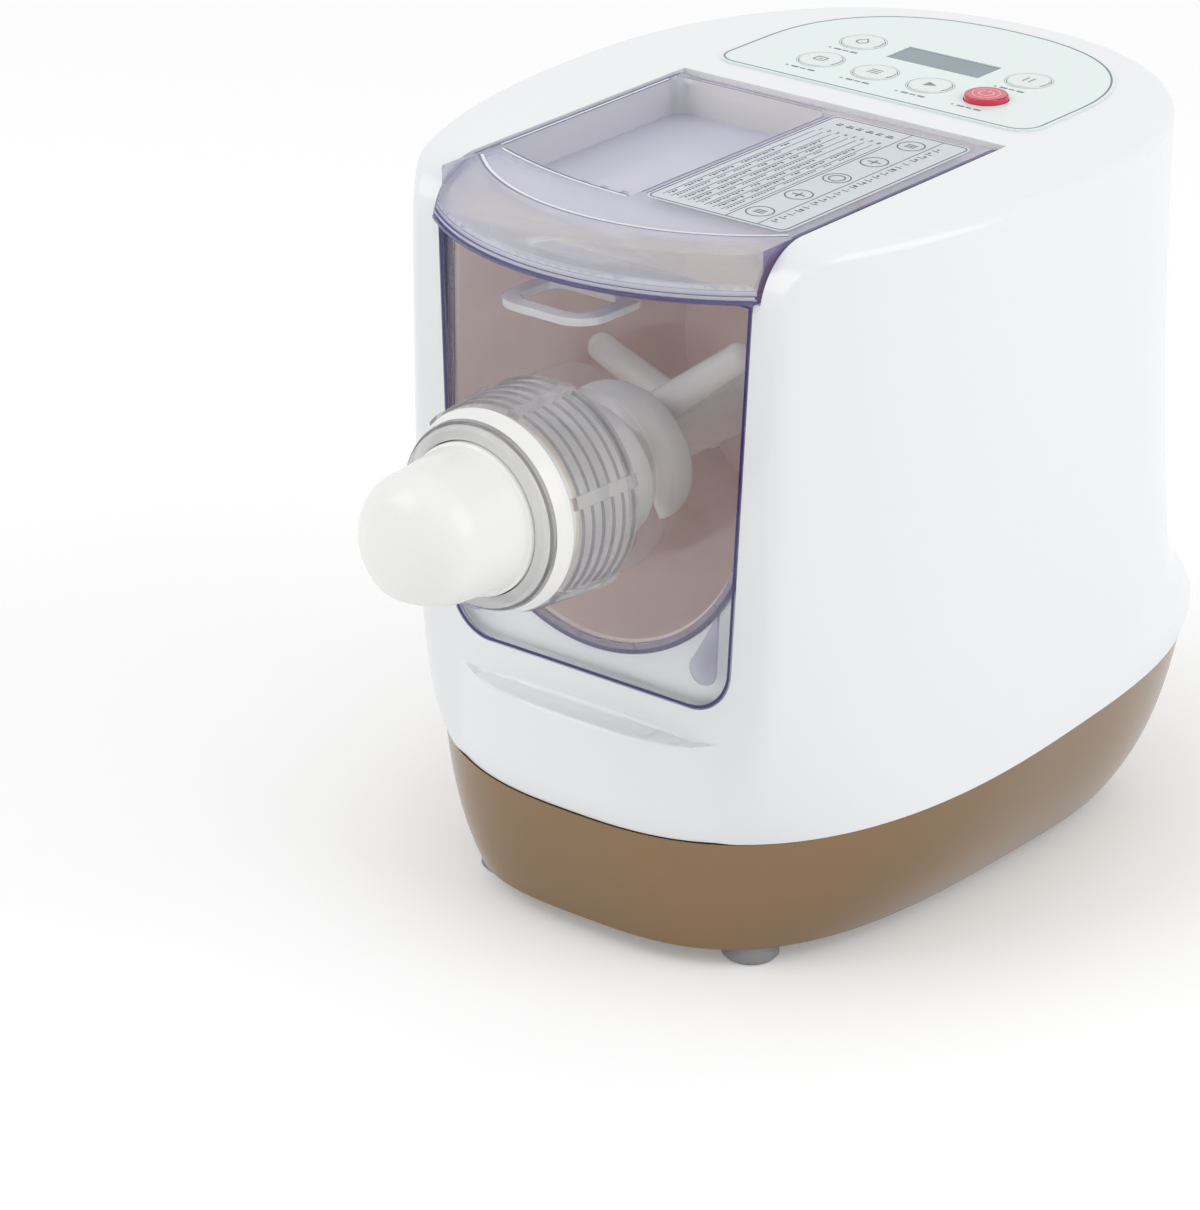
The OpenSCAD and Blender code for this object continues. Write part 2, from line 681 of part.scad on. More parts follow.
module hex_rod(r, y0, len) translate([0, y0, axis_z]) rotate([-90, 0, 0]) cylinder(r = r, h = len, $fn = 6);

// Core and tapering blade in one section, which turns as it advances
flight_step = 20;
function auger_ring(turn, advance) = [for (q = concat(
        [[auger_core, -18], [auger_r, -8], [auger_r, 0], [auger_r, 8], [auger_core, 18]],
        [for (a = [42:24:318]) [auger_core, a]]))
    [q[0] * cos(q[1] + turn), q[0] * sin(q[1] + turn), advance]];

module auger_screw() color("ivory") difference() {
    union() {
        translate([0, auger_front, axis_z]) rotate([-90, 0, 0])
            loft([for (a = [0:flight_step:360 * auger_len / auger_pitch])
                auger_ring(a, a * auger_pitch / 360)]);
        turned() polygon([
            [0, auger_front - 3], [auger_core - 5, auger_front - 3], [auger_core - 1, auger_front + 1],
            [0, auger_front + 1]]);
    }
    hex_rod(hex_hole, auger_front + 4, auger_len);
}

paddle_back = chamber_back - 2;
arms = [[-61, 38], [-22, 158], [18, 278]];      // place along the shaft, and angle
arm_off = 9;                                    // the arms stand tangent to the hub

module mixing_paddle() {
    hub = 12;
    root = 7.5;
    tip = 6;
    reach = sqrt(pow(paddle_r - tip, 2) - arm_off * arm_off);
    color("white") difference() {
        union() {
            rod_y(hub, auger_back + play, paddle_back - auger_back - play);
            for (m = arms) translate([0, m[0], axis_z]) rotate([0, -m[1], 0]) translate([0, 0, arm_off]) {
                rotate([0, 90, 0]) cylinder(r1 = root, r2 = tip, h = reach);
                sphere(r = root);
                translate([reach, 0, 0]) sphere(r = tip);
            }
        }
        hex_rod(hex_hole, auger_back - 1, chamber_back - auger_back + 2);
    }
}

module drive_shaft() color("silver") {
    hex_rod(hex_r, auger_front + 6, paddle_back - auger_front - 6);
    rod_y(shaft_r, paddle_back, cover_y + cover_t - paddle_back - play);
    rod_y(shaft_r + 3, paddle_back + lap, 1.5);
}

module shaft_seal() color("#404040") turned() polygon([
    [shaft_r + run_fit, chamber_back - 0.4], [seal_bore, chamber_back - 0.4],
    [seal_bore, chamber_back + 4.6], [shaft_r + run_fit, chamber_back + 4.6]]);

bush_r = 13;
module shaft_bearings() color("goldenrod") for (y = [case_y, cover_y])
    turned() polygon([
        [shaft_r + run_fit, y], [bush_r, y], [bush_r, y + cover_t], [shaft_r + run_fit, y + cover_t]]);

// ---- Gearbox -------------------------------------------------------------

chassis_y = case_y - 3.4;
chassis_t = 3;
chassis_bolts = [for (x = [-50, 0, 50]) [x, case_y + 12]];

module chassis_plate() color("lightsteelblue") difference() {
    union() {
        slab_y(chassis_y, chassis_t) round_rect(-66, 66, floor_z + 3, seat_z - 6, 8);
        block(-62, 62, chassis_y, case_y + 18, floor_z + 3, floor_z + 3 + chassis_t);
    }
    rod_y(bush_r + 4, chassis_y - 1, 6);
    for (p = chassis_bolts) translate([p[0], p[1], floor_z]) cylinder(r = 1.7, h = 10);
    for (p = case_bolts) rod_y(1.7, chassis_y - 1, 6, p[1], p[0]);
    for (s = [-1, 1]) rod_y(1.7, chassis_y - 1, 6, seat_z - 12, s * 60);
    // lightening slots
    for (s = [-1, 1]) slab_y(chassis_y - 1, 6) round_rect(s * 53 - 7, s * 53 + 7, 60, 230, 6);
}

out_r = mod_out * teeth_out / 2 + mod_out + 3;
in_r = mod_in * teeth_in / 2 + mod_in + 3;
motor_bore = 5;
module case_outline(grow) hull() {
    translate([0, axis_z]) circle(out_r + grow);
    translate([0, mid_z]) circle(in_r + grow);
    translate([0, motor_z]) circle(14 + grow);
}
case_bolts = [[-37, axis_z + 41], [37, axis_z + 41], [-38, mid_z - 6], [38, mid_z - 6]];

module gearbox_case() color("gainsboro") difference() {
    union() {
        slab_y(case_y, case_deep) case_outline(wall);
        for (p = case_bolts) rod_y(5, case_y, case_deep, p[1], p[0]);
    }
    slab_y(case_y + case_t, case_deep) case_outline(0);
    rod_y(bush_r + run_fit, case_y - 1, case_t + 2);
    rod_y(3 + run_fit, case_y - 1, case_t + 2, mid_z);
    for (p = case_bolts) rod_y(1.6, case_y - 1, case_deep + 2, p[1], p[0]);
}

module gearbox_cover() color("silver") difference() {
    union() {
        slab_y(cover_y, cover_t) case_outline(wall);
        for (p = case_bolts) rod_y(5, cover_y, cover_t, p[1], p[0]);
    }
    rod_y(bush_r + run_fit, cover_y - 1, cover_t + 2);
    rod_y(3 + run_fit, cover_y - 1, cover_t + 2, mid_z);
    rod_y(motor_bore + 4, cover_y - 1, cover_t + 2, motor_z);
    for (p = case_bolts) rod_y(1.7, cover_y - 1, cover_t + 2, p[1], p[0]);
}

module gearbox_screws() color("dimgray") for (p = case_bolts)
    translate([p[0], cover_y + cover_t, p[1]]) rotate([90, 0, 0]) screw(16, 3.2, 2, 1.5);

// Involute flank: angle of the tooth face away from its middle at radius r
function flank(r, base_r, half) = let (t = sqrt(max(0, pow(r / base_r, 2) - 1)))
    half - (t * 180 / PI - atan(t));

// Spur gear in the plane; backlash is taken off each tooth at the pitch circle
module gear_outline(teeth, module_mm, backlash = 0.14) {
    pitch_r = teeth * module_mm / 2;
    base_r = pitch_r * cos(20);
    tip_r = pitch_r + 0.92 * module_mm;
    root_r = pitch_r - 1.2 * module_mm;
    half = 90 / teeth * (1 - backlash) + tan(20) * 180 / PI - 20;
    radii = [root_r, max(base_r, root_r + 0.1), pitch_r, (pitch_r + tip_r) / 2, tip_r];
    rise = [for (r = radii) [r, -flank(r, base_r, half)]];
    fall = [for (k = [4:-1:0]) [radii[k], flank(radii[k], base_r, half)]];
    polygon([for (i = [0:teeth - 1], p = concat(rise, fall))
        p[0] * [cos(i * 360 / teeth + p[1]), sin(i * 360 / teeth + p[1])]]);
}

out_y = case_y + 16;
out_w = 13;
in_y = case_y + case_t + 1;
in_w = 8;
pinion_w = 11;

module output_gear() color("tan") difference() {
    union() {
        translate([0, 0, axis_z]) slab_y(out_y, out_w) rotate(-90) gear_outline(teeth_out, mod_out);
        rod_y(shaft_r + 5, out_y - 2, out_w + 4);
    }
    rod_y(shaft_r + run_fit, out_y - 3, out_w + 6);
    for (a = [0:60:300]) rod_y(7, out_y - 1, out_w + 2, axis_z + 28 * cos(a), 28 * sin(a));
}

module countershaft_gear() color("burlywood") difference() {
    union() {
        translate([0, 0, mid_z]) slab_y(in_y, in_w) rotate(-90) gear_outline(teeth_in, mod_in);
        translate([0, 0, mid_z]) slab_y(in_y + in_w - lap, out_y + out_w + 1 - in_y - in_w)
            rotate(90 + 180 / teeth_mid) gear_outline(teeth_mid, mod_out);
    }
    rod_y(3 + run_fit, in_y - 1, case_deep, mid_z);
}

module countershaft_axle() color("silver") rod_y(3, case_y + 0.5, case_deep + cover_t - 1, mid_z);

module motor_pinion() color("goldenrod") difference() {
    translate([0, 0, motor_z]) slab_y(in_y, pinion_w) rotate(90 + 180 / teeth_motor)
        gear_outline(teeth_motor, mod_in);
    rod_y(2.5 + run_fit, in_y - 1, pinion_w + 2, motor_z);
}

// ---- Motor ---------------------------------------------------------------

can_wall = 2;
can_end = motor_y + motor_len;
cap_t = 4;
air = 0.8;                      // gap between rotor and stator

module motor_can() color("darkgray") difference() {
    turned(motor_z) polygon([
        [motor_bore, motor_y], [motor_r, motor_y], [motor_r, can_end], [motor_r - can_wall, can_end],
        [motor_r - can_wall, can_end - 10], [motor_r - 7, can_end - 10], [motor_r - 7, motor_y + 10],
        [motor_r - can_wall, motor_y + 10], [motor_r - can_wall, motor_y + can_wall],
        [motor_bore, motor_y + can_wall]]);
    for (a = [45:90:315]) rod_y(2.5, motor_y - 1, 4, motor_z + 22 * cos(a), 22 * sin(a));
}

module motor_end_cap() color("black") difference() {
    rod_y(motor_r, can_end, cap_t, motor_z);
    rod_y(motor_bore, can_end - 1, cap_t + 2, motor_z);
    for (a = [0:45:315]) rod_y(4, can_end - 1, cap_t + 2, motor_z + 20 * cos(a), 20 * sin(a));
}

module motor_rotor() color("peru") {
    rod_y(2.5, in_y + 0.5, can_end + cap_t + 12 - in_y, motor_z);
    rod_y(motor_r - 7 - air, motor_y + 12, motor_len - 24, motor_z);
    rod_y(motor_bore - 0.1, motor_y + lap, 8, motor_z);
    rod_y(motor_bore - 0.1, can_end + lap, cap_t - 2 * lap, motor_z);
    rod_y(9, motor_y + motor_len - 12 - lap, 9, motor_z);
}

fan_y = can_end + cap_t + 2;
module motor_fan() color("white") difference() {
    union() {
        rod_y(7, fan_y, 9, motor_z);
        rod_y(27, fan_y, 1.6, motor_z);
        for (a = [0:30:330]) translate([0, 0, motor_z]) rotate([0, a, 0])
            block(6, 27, fan_y + 1, fan_y + 9, -0.8, 0.8);
    }
    rod_y(2.5 + run_fit, fan_y - 1, 12, motor_z);
}

cradle_y0 = motor_y + 14;
cradle_len = 30;
cradle_pads = [for (x = [-30, 30], y = [motor_y + 18, motor_y + 40]) [x, y]];
module motor_cradle() color("gray") difference() {
    union() {
        block(-40, 40, cradle_y0, cradle_y0 + cradle_len, floor_z + 3, floor_z + 7);
        block(-28, 28, cradle_y0, cradle_y0 + 6, floor_z + 6, motor_z - 16);
        block(-28, 28, cradle_y0 + cradle_len - 6, cradle_y0 + cradle_len, floor_z + 6, motor_z - 16);
    }
    rod_y(motor_r + 0.1, cradle_y0 - 1, cradle_len + 2, motor_z);
    for (p = cradle_pads) translate([p[0], p[1], floor_z]) cylinder(r = 1.7, h = 10);
}

// ---- Electrics -----------------------------------------------------------

supply_posts = [for (x = [-76, -40], y = [-16, 40]) [x, y]];
module power_board() {
    z = floor_z + 6;
    color("darkgreen") difference() {
        block(-80, -36, -20, 44, z, z + board_t);
        for (p = supply_posts) translate([p[0], p[1], z - 1]) cylinder(r = 1.2, h = 4);
    }
    color("goldenrod") block(-70, -46, 10, 34, z + board_t - lap, z + 20);
    color("black") translate([-50, -8, z + board_t - lap]) cylinder(r = 6, h = 16);
    color("black") block(-74, -60, -12, 4, z + board_t - lap, z + 14);
}

module mains_inlet() color("#202020") difference() {
    union() {
        block(-26.6, 26.6, inlet_y + 3.1, inlet_y + 5.6, inlet_z - 13.6, inlet_z + 13.6);
        block(-13.8, 13.8, inlet_y - 18, inlet_y + 4, inlet_z - 10.2, inlet_z + 10.2);
    }
    // socket
    block(-11.8, 11.8, inlet_y - 12, inlet_y + 10, inlet_z - 8.2, inlet_z + 8.2);
    for (x = [-20, 20]) rod_y(1.7, inlet_y, 10, inlet_z, x);
    for (p = pin_places) rod_y(1.5 + run_fit, inlet_y - 19, 8, inlet_z + p[1], p[0]);
}
pin_places = [[-7, 1.5], [0, -2.5], [7, 1.5]];
module inlet_pins() color("silver") for (p = pin_places) rod_y(1.5, inlet_y - 22, 20, inlet_z + p[1], p[0]);

// ---- Lid -----------------------------------------------------------------

lip_y = face_y - (lip_r - sqrt(lip_r * lip_r - lid_half * lid_half)) + lip_r;   // centre of the lip curve
lip_round = 18;
flat_y = lip_y - sqrt(pow(lip_r - lip_round, 2) - lid_half * lid_half);         // where the flat top starts
tray = [-lid_half + lid_t, 1, -82, lid_back - 2 * barrel_r - 0.8];
tray_bow = 200;
tray_front = -78.2;
cheek_y = face_y + recess - play;       // the lip's cheeks stop in front of the chamber

// Section of the lid's front, as radius from the lip centre and height
module lip_section() {
    rc = lip_r - lip_round;
    bend_z = lid_z() - lip_round;
    difference() {
        lip_solid();
        square([rc, lid_z() - lid_t]);
        translate([rc, 0]) square([lip_round - lid_t, bend_z]);
        intersection() {
            translate([rc, bend_z]) circle(lip_round - lid_t);
            translate([rc - 1, 0]) square([lip_round, lid_z()]);
        }
    }
}
module lip_solid() {
    rc = lip_r - lip_round;
    bend_z = lid_z() - lip_round;
    translate([rc - 60, lip_z]) square([60 + lip_round, bend_z - lip_z]);
    translate([rc - 60, bend_z - 1]) square([60, lip_round + 1]);
    intersection() {
        translate([rc, bend_z]) circle(lip_round);
        translate([rc - 1, bend_z - 1]) square([lip_round + 1, lip_round + 1]);
    }
    // three steps of the lip band
    for (k = [0:2]) translate([lip_r - 1, lip_z + k * 1.9]) square([1 + 0.9 * (2 - k), 1.2]);
}
module swept_lip() translate([0, lip_y, 0]) rotate_extrude($fn = 180) children();

// Plan of the water tray, whose front edge is bowed
module tray_plan(grow = 0) intersection() {
    round_rect(tray[0] - grow, tray[1] + grow, tray[2] - grow, tray[3] + grow, 6 + grow);
    translate([0, tray_front + tray_bow]) circle(tray_bow + grow, $fn = 180);
}

module lid() color("lavender", 0.4) on_top() difference() {
    union() {
        // flat top
        block(-lid_half, lid_half, flat_y, lid_back - barrel_r, lid_z() - lid_t, lid_z());
        // curved front, with its two cheeks
        intersection() {
            swept_lip() lip_section();
            block(-lid_half, lid_half, -300, flat_y + 1, 0, 400);
        }
        intersection() {
            swept_lip() lip_solid();
            for (x = [-lid_half, lid_half - lid_t]) block(x, x + lid_t, -300, cheek_y, 0, 400);
        }
        // floor of the lip, over the top edge of the panel
        intersection() {
            swept_lip() translate([lip_r - 42, lip_z]) square([40, 1.8]);
            block(-lid_half + 1, lid_half - 1, -300, face_y + panel_t, 0, 400);
        }
        for (x = [-lid_half, lid_half - lid_t]) slab_x(x, lid_t)
            translate([cheek_y - 1, seat_z + play]) square([hinge_y - 3 - cheek_y, lid_z() - seat_z - play]);
        // hinge barrel along the rear edge
        rod_x(barrel_r, -lid_half, 2 * lid_half, hinge_y, hinge_z);
        // water tray
        translate([0, 0, lid_z() - tray_depth - 2]) linear_extrude(tray_depth + 1) tray_plan(2);
        // boss that holds the magnet
        block(lid_half - 7, lid_half - 1, magnet_y - 5, magnet_y + 5, magnet_z - 4.5, lid_z() - 1);
    }
    translate([0, 0, lid_z() - tray_depth]) linear_extrude(tray_depth + 1) tray_plan();
    // pouring slots in the tray floor
    for (i = [0:5]) block(-62 + i * 10, -58.6 + i * 10, -66, -42, lid_z() - tray_depth - 5,
        lid_z() - tray_depth + 1);
    rod_x(hinge_r + run_fit, lid_half - 9, 12, hinge_y, hinge_z);
    rod_x(hinge_r + run_fit, -lid_half - 3, 12, hinge_y, hinge_z);
    rod_x(3 + run_fit, lid_half - 3, 5, magnet_y, magnet_z);
}

module lid_chart() color("aliceblue") on_top() translate([0, 0, lid_z()]) linear_extrude(0.4)
    round_rect(tray[1] + 4, lid_half - 6, face_y + 24, lid_back - 9, 4);

module hinge_pins() color("silver") on_top() for (s = [-1, 1])
    rod_x(hinge_r, s > 0 ? lid_half - 8.5 : -lid_half - 10.5, 19, hinge_y, hinge_z);

magnet_y = -30;
magnet_z = seat_z + 6;
module lid_magnet() color("dimgray") on_top() rod_x(3, lid_half - 2.9, 2.6, magnet_y, magnet_z);
module lid_switch() color("black") on_top() block(rim_x + rim_t + 0.2, rim_x + rim_t + 7, magnet_y - 9,
    magnet_y + 9, seat_z - 2, body_h - wall - 0.2);

upper_housing();
base_pan();
rubber_feet();
base_screws();
control_fascia();
display_window();
lcd_module();
control_board();
tact_switches();
button_power();
button_start();
button_menu();
button_weight();
button_clean();
button_pause();
mixing_chamber();
panel_seal();
front_panel();
nozzle_nut();
die_head();
die_gasket();
auger_screw();
mixing_paddle();
drive_shaft();
shaft_seal();
shaft_bearings();
chassis_plate();
gearbox_case();
gearbox_cover();
output_gear();
countershaft_gear();
countershaft_axle();
motor_pinion();
motor_can();
motor_end_cap();
motor_rotor();
motor_fan();
motor_cradle();
gearbox_screws();
power_board();
mains_inlet();
inlet_pins();
lid();
lid_chart();
hinge_pins();
lid_switch();
lid_magnet();
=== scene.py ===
"""Electric pasta maker, dressed over its CAD frame.

Everything is in metres in the frame of the CAD: +Z up, front towards -Y,
origin on the table under the middle of the machine.
"""

import json
import math

import bmesh
import bpy
from bpy.props import FloatProperty, IntProperty, PointerProperty, StringProperty
from mathutils import Matrix, Vector


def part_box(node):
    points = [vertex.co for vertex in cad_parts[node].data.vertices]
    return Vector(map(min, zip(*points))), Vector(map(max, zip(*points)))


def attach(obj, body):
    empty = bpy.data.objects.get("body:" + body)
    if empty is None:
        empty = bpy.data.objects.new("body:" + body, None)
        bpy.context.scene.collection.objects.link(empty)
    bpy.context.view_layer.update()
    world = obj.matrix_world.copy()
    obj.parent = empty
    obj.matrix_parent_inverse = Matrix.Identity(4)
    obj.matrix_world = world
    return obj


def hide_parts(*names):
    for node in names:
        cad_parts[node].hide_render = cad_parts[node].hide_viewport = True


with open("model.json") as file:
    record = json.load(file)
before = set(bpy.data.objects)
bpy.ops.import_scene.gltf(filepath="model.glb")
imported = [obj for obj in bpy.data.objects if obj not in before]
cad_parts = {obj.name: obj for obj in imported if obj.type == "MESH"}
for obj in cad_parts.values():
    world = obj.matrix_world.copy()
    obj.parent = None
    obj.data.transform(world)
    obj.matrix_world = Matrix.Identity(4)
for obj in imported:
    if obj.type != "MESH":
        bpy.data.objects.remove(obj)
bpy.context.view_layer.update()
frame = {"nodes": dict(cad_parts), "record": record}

bl_info = {
    "name": "Electric pasta maker",
    "version": (1, 0, 0),
    "blender": (4, 5, 0),
    "location": "View3D > Sidebar > Pasta maker",
    "description": "Builds the pasta maker's housing, clear parts, controls and stage over its CAD frame",
    "category": "Object",
}

MM = 0.001


# ---- Settings --------------------------------------------------------------

def size(name, description, default):
    """A length for a PropertyGroup, given in millimetres and held in metres."""
    return FloatProperty(name=name, description=description, default=default * MM, unit="LENGTH", precision=5)


def tint(name, description, default):
    """An sRGB hex colour for a PropertyGroup."""
    return StringProperty(name=name, description=description, default=default)


class HousingSizes(bpy.types.PropertyGroup):
    """Sizes of the moulded housing and base"""
    crown_height: size("Crown height", "Height of the crown above the table", 307.5)
    crown_pivot: size("Crown pivot", "Where along Y the crown has that height", 170)
    crown_tilt: FloatProperty(name="Crown tilt", description="Slope of the crown towards the front",
                              default=math.radians(1.25), unit="ROTATION")
    crown_half: size("Crown half width", "Half of the width across the crown", 126)
    crown_front: size("Crown front", "Crown centre to the tip of its front oval", 198)
    crown_back: size("Crown back", "Crown centre to its rear edge", 147)
    crown_y: size("Crown centre", "Centre of the crown oval behind the origin", 47)
    crown_edge: size("Crown edge", "Rounding of the crown's edge", 5)
    seam_half: size("Seam half width", "Half of the width at the seam", 128)
    seam_front: size("Seam front", "Seam centre to its front edge", 166.4)
    seam_back: size("Seam back", "Seam centre to its rear edge", 157.4)
    seam_y: size("Seam centre", "Centre of the seam oval behind the origin", 54.7)
    seam_z: size("Seam height", "Height of the seam at the front", 56.5)
    seam_rise: size("Seam rise", "Rise of the seam from front to rear", 25.8)
    seam_gap: size("Seam gap", "Shadow gap between housing and base", 0.4)
    skin_in: size("Skin inset", "How far the fine skin lies inside the CAD solid's corners", 0.3)
    under_half: size("Underside half width", "Half of the width of the flat underside", 97)
    under_front: size("Underside front", "Underside centre to its front edge", 158)
    under_back: size("Underside back", "Underside centre to its rear edge", 130)
    foot_height: size("Foot height", "Height of the rubber feet", 8)
    wall: size("Wall", "Wall of the moulded shells", 3)
    base_wall: size("Base wall", "Wall of the base", 2.4)
    vent_pitch: size("Vent pitch", "Spacing of the slots in the back", 6.5)
    vent_low: size("Vent bottom", "Lower end of the slots in the back", 150)
    vent_high: size("Vent top", "Upper end of the slots in the back", 205)
    slot_half: size("Slot half width", "Half of the width of a slot in the back or the underside", 1.5)
    face_y: size("Face", "Front face plane", -100)
    brow: size("Brow", "Rounding between crown and front face", 26)
    ledge_z: size("Ledge", "Height of the ledge under the front face", 98)
    ledge_half: size("Ledge half width", "Half of the ledge's straight part", 50)
    ledge_corner: size("Ledge corner", "Rounding of the ledge's ends", 34)
    front_bow: size("Front bow", "How far the front under the ledge bows out from the face", 12.5)
    bow_half: size("Bow half width", "Half of the width of that bow", 64)
    crease: size("Crease", "Softness of the crease round the front face", 5)
    around: IntProperty(name="Around", description="Faces round the housing", default=384, min=64, max=512)


class WindowSizes(bpy.types.PropertyGroup):
    """Sizes of the window, the lid and the panel"""
    panel_half: size("Panel top half width", "Half of the panel's width at its top", 76)
    panel_half_low: size("Panel bottom half width", "Half of the panel's width at its bottom", 69.6)
    panel_low: size("Panel bottom", "Height of the panel's lower edge", 112)
    panel_top: size("Panel top", "Height of the panel's upper edge", 280.5)
    panel_corner: size("Panel corner", "Rounding of the panel's lower corners", 20)
    panel_gap: size("Panel gap", "Gap round the panel", 0.4)
    pocket: size("Pocket", "Depth of the pocket behind the face", 5)
    axis_z: size("Shaft height", "Height of the drive shaft", 198)
    trough: size("Trough", "Inner radius of the mixing chamber", 70.5)
    lid_half: size("Lid half width", "Half of the lid's width", 77.6)
    lid_back: size("Lid back", "Rear edge of the lid", 54.4)
    lid_reveal: size("Lid reveal", "Gap between lid and crown", 1.7)
    lid_top: size("Lid top", "Height of the lid's top at the crown's pivot", 307.1)
    lip_z: size("Lip height", "Lower edge of the lid's lip", 287.5)
    lip_radius: size("Lip radius", "Radius of the lid's front edge seen from above", 126)
    lip_round: size("Lip rounding", "Rounding between the lid's top and its front", 18)
    tray_bow: size("Tray bow", "Radius of the tray's bowed front edge", 200)
    tray_bow_front: size("Tray bow front", "Foremost point of the tray's bowed edge", -78.2)
    tray_left: size("Tray left", "Left edge of the water tray", -75)
    tray_right: size("Tray right", "Right edge of the water tray", 1)
    tray_front: size("Tray front", "Front edge of the water tray", -82)
    tray_back: size("Tray back", "Rear edge of the water tray", 46.8)
    chart_left: size("Chart left", "Left edge of the chart on the lid", 5)
    chart_right: size("Chart right", "Right edge of the chart on the lid", 71.6)
    chart_front: size("Chart front", "Front edge of the chart on the lid", -76)
    chart_back: size("Chart back", "Rear edge of the chart on the lid", 45.4)


class ControlSizes(bpy.types.PropertyGroup):
    """Places of the control sheet, its keys and the display"""
    sheet_half: size("Sheet half width", "Half of the control sheet's width", 78.5)
    sheet_front: size("Sheet front", "Front edge of the control sheet", 72)
    sheet_mid: size("Sheet middle", "Start of the sheet's rear curve", 108)
    sheet_deep: size("Sheet depth", "Depth of the sheet's rear curve", 70)
    sheet_top: size("Sheet top", "Height of the sheet's face at the crown's pivot", 308.3)
    sheet_corner: size("Sheet corner", "Rounding of the sheet's front corners", 11)
    key_radius: size("Key radius", "Radius of a key", 8.9)
    key_pitch: size("Key pitch", "Spacing of the four keys in the front row", 27.3)
    row_y: size("Front row", "Place of the front row along Y", 97)
    pair_x: size("Pair", "How far the two rear keys stand from the middle", 41.2)
    pair_y: size("Rear row", "Place of the two rear keys along Y", 126.4)
    key_rise: size("Key rise", "Height of a key above the sheet", 0.5)
    power_rise: size("Power key rise", "Height of the power key above the sheet", 2.4)
    line: size("Print line", "Width of a printed line", 0.7)
    ink: size("Ink", "Thickness of the printed marks, drawn thick enough to show", 0.05)


class Finishes(bpy.types.PropertyGroup):
    """Colours of the main finishes"""
    housing: tint("Housing", "Glossy white plastic", "#F1F3F5")
    base: tint("Base", "Champagne bronze lacquer", "#896F50")
    clear: tint("Clear parts", "Clear plastic seen square on", "#FBFAFF")
    edge: tint("Clear edges", "Clear plastic seen along its wall", "#8F8BC8")
    # violet colours the dark lines along the clear parts' edges, which are partly their tint and partly
    # painted shade
    violet: tint("Violet", "Dark tint along the edges of the clear parts", "#241D63")
    chamber: tint("Chamber", "Moulded trough", "#F6E2DB")
    sheet: tint("Control sheet", "Printed polyester", "#E8F4F1")
    display: tint("Display", "Liquid crystal behind its cover", "#5F7B85")
    power: tint("Power key", "Red key", "#D11F45")


def housing():
    return bpy.context.scene.pasta_housing


def window():
    return bpy.context.scene.pasta_window


def controls():
    return bpy.context.scene.pasta_controls


def finishes():
    return bpy.context.scene.pasta_finishes


# ---- Materials ---------------------------------------------------------------

def linear(hex_colour):
    """Linear RGBA of an sRGB hex colour."""
    parts = [int(hex_colour[i:i + 2], 16) / 255 for i in (1, 3, 5)]
    return [c / 12.92 if c <= 0.04045 else ((c + 0.055) / 1.055) ** 2.4 for c in parts] + [1]


def node(tree, kind, settings=(), links=()):
    """Adds a shader node, sets its values or properties, and links (input, output socket) pairs."""
    made = tree.nodes.new(kind)
    for key, value in dict(settings).items():
        if isinstance(key, str) and not hasattr(made, key):
            made.inputs[key].default_value = value
        elif isinstance(key, int):
            made.inputs[key].default_value = value
        else:
            setattr(made, key, value)
    for key, source in links:
        tree.links.new(source, made.inputs[key])
    return made


CLOUD_LEVELS = 0.3, 0.7     # between which a noise mostly stays
CLOUD_TURN = 0.38, 0.62     # where one colour of a cloud turns into the other
SIDELONG = 0.32             # how early a clear wall counts as seen along
TINT_TURN = 0.25, 0.85      # where its tint sets in and where it is full
DENSE_TURN = 0.2, 0.8       # where its wall starts to catch more light and where it catches most


def finish(name, colour, roughness, grain=None, **inputs):
    """A Principled material; keywords are its sockets with underscores for spaces.

    grain is (spacing in mm, spread of the roughness, depth of the bump in mm), then a second colour if any.
    """
    made = bpy.data.materials.get(name)
    if made:
        return made
    made = bpy.data.materials.new(name)
    made.use_nodes = True
    tree = made.node_tree
    shader = tree.nodes["Principled BSDF"]
    shader.inputs["Base Color"].default_value = linear(colour)
    shader.inputs["Roughness"].default_value = roughness
    for key, value in inputs.items():
        shader.inputs[key.replace("_", " ")].default_value = value
    if grain:
        spacing, spread, depth, *second = grain
        place = node(tree, "ShaderNodeTexCoord")
        cloud = node(tree, "ShaderNodeTexNoise", {"Scale": 1 / (spacing * MM), "Detail": 3.0},
                     [("Vector", place.outputs["Object"])])
        level = node(tree, "ShaderNodeMapRange",
                     {"From Min": CLOUD_LEVELS[0], "From Max": CLOUD_LEVELS[1],
                      "To Min": roughness - spread, "To Max": roughness + spread},
                     [("Value", cloud.outputs[0])])
        tree.links.new(level.outputs[0], shader.inputs["Roughness"])
        if depth:
            relief = node(tree, "ShaderNodeBump", {"Strength": 1.0, "Distance": depth * MM},
                          [("Height", cloud.outputs[0])])
            tree.links.new(relief.outputs[0], shader.inputs["Normal"])
        if second:
            ramp = node(tree, "ShaderNodeValToRGB", (), [(0, cloud.outputs[0])])
            low, high = ramp.color_ramp.elements
            low.position, high.position = CLOUD_TURN
            low.color, high.color = linear(colour), linear(second[0])
            tree.links.new(ramp.outputs[0], shader.inputs["Base Color"])
    return made


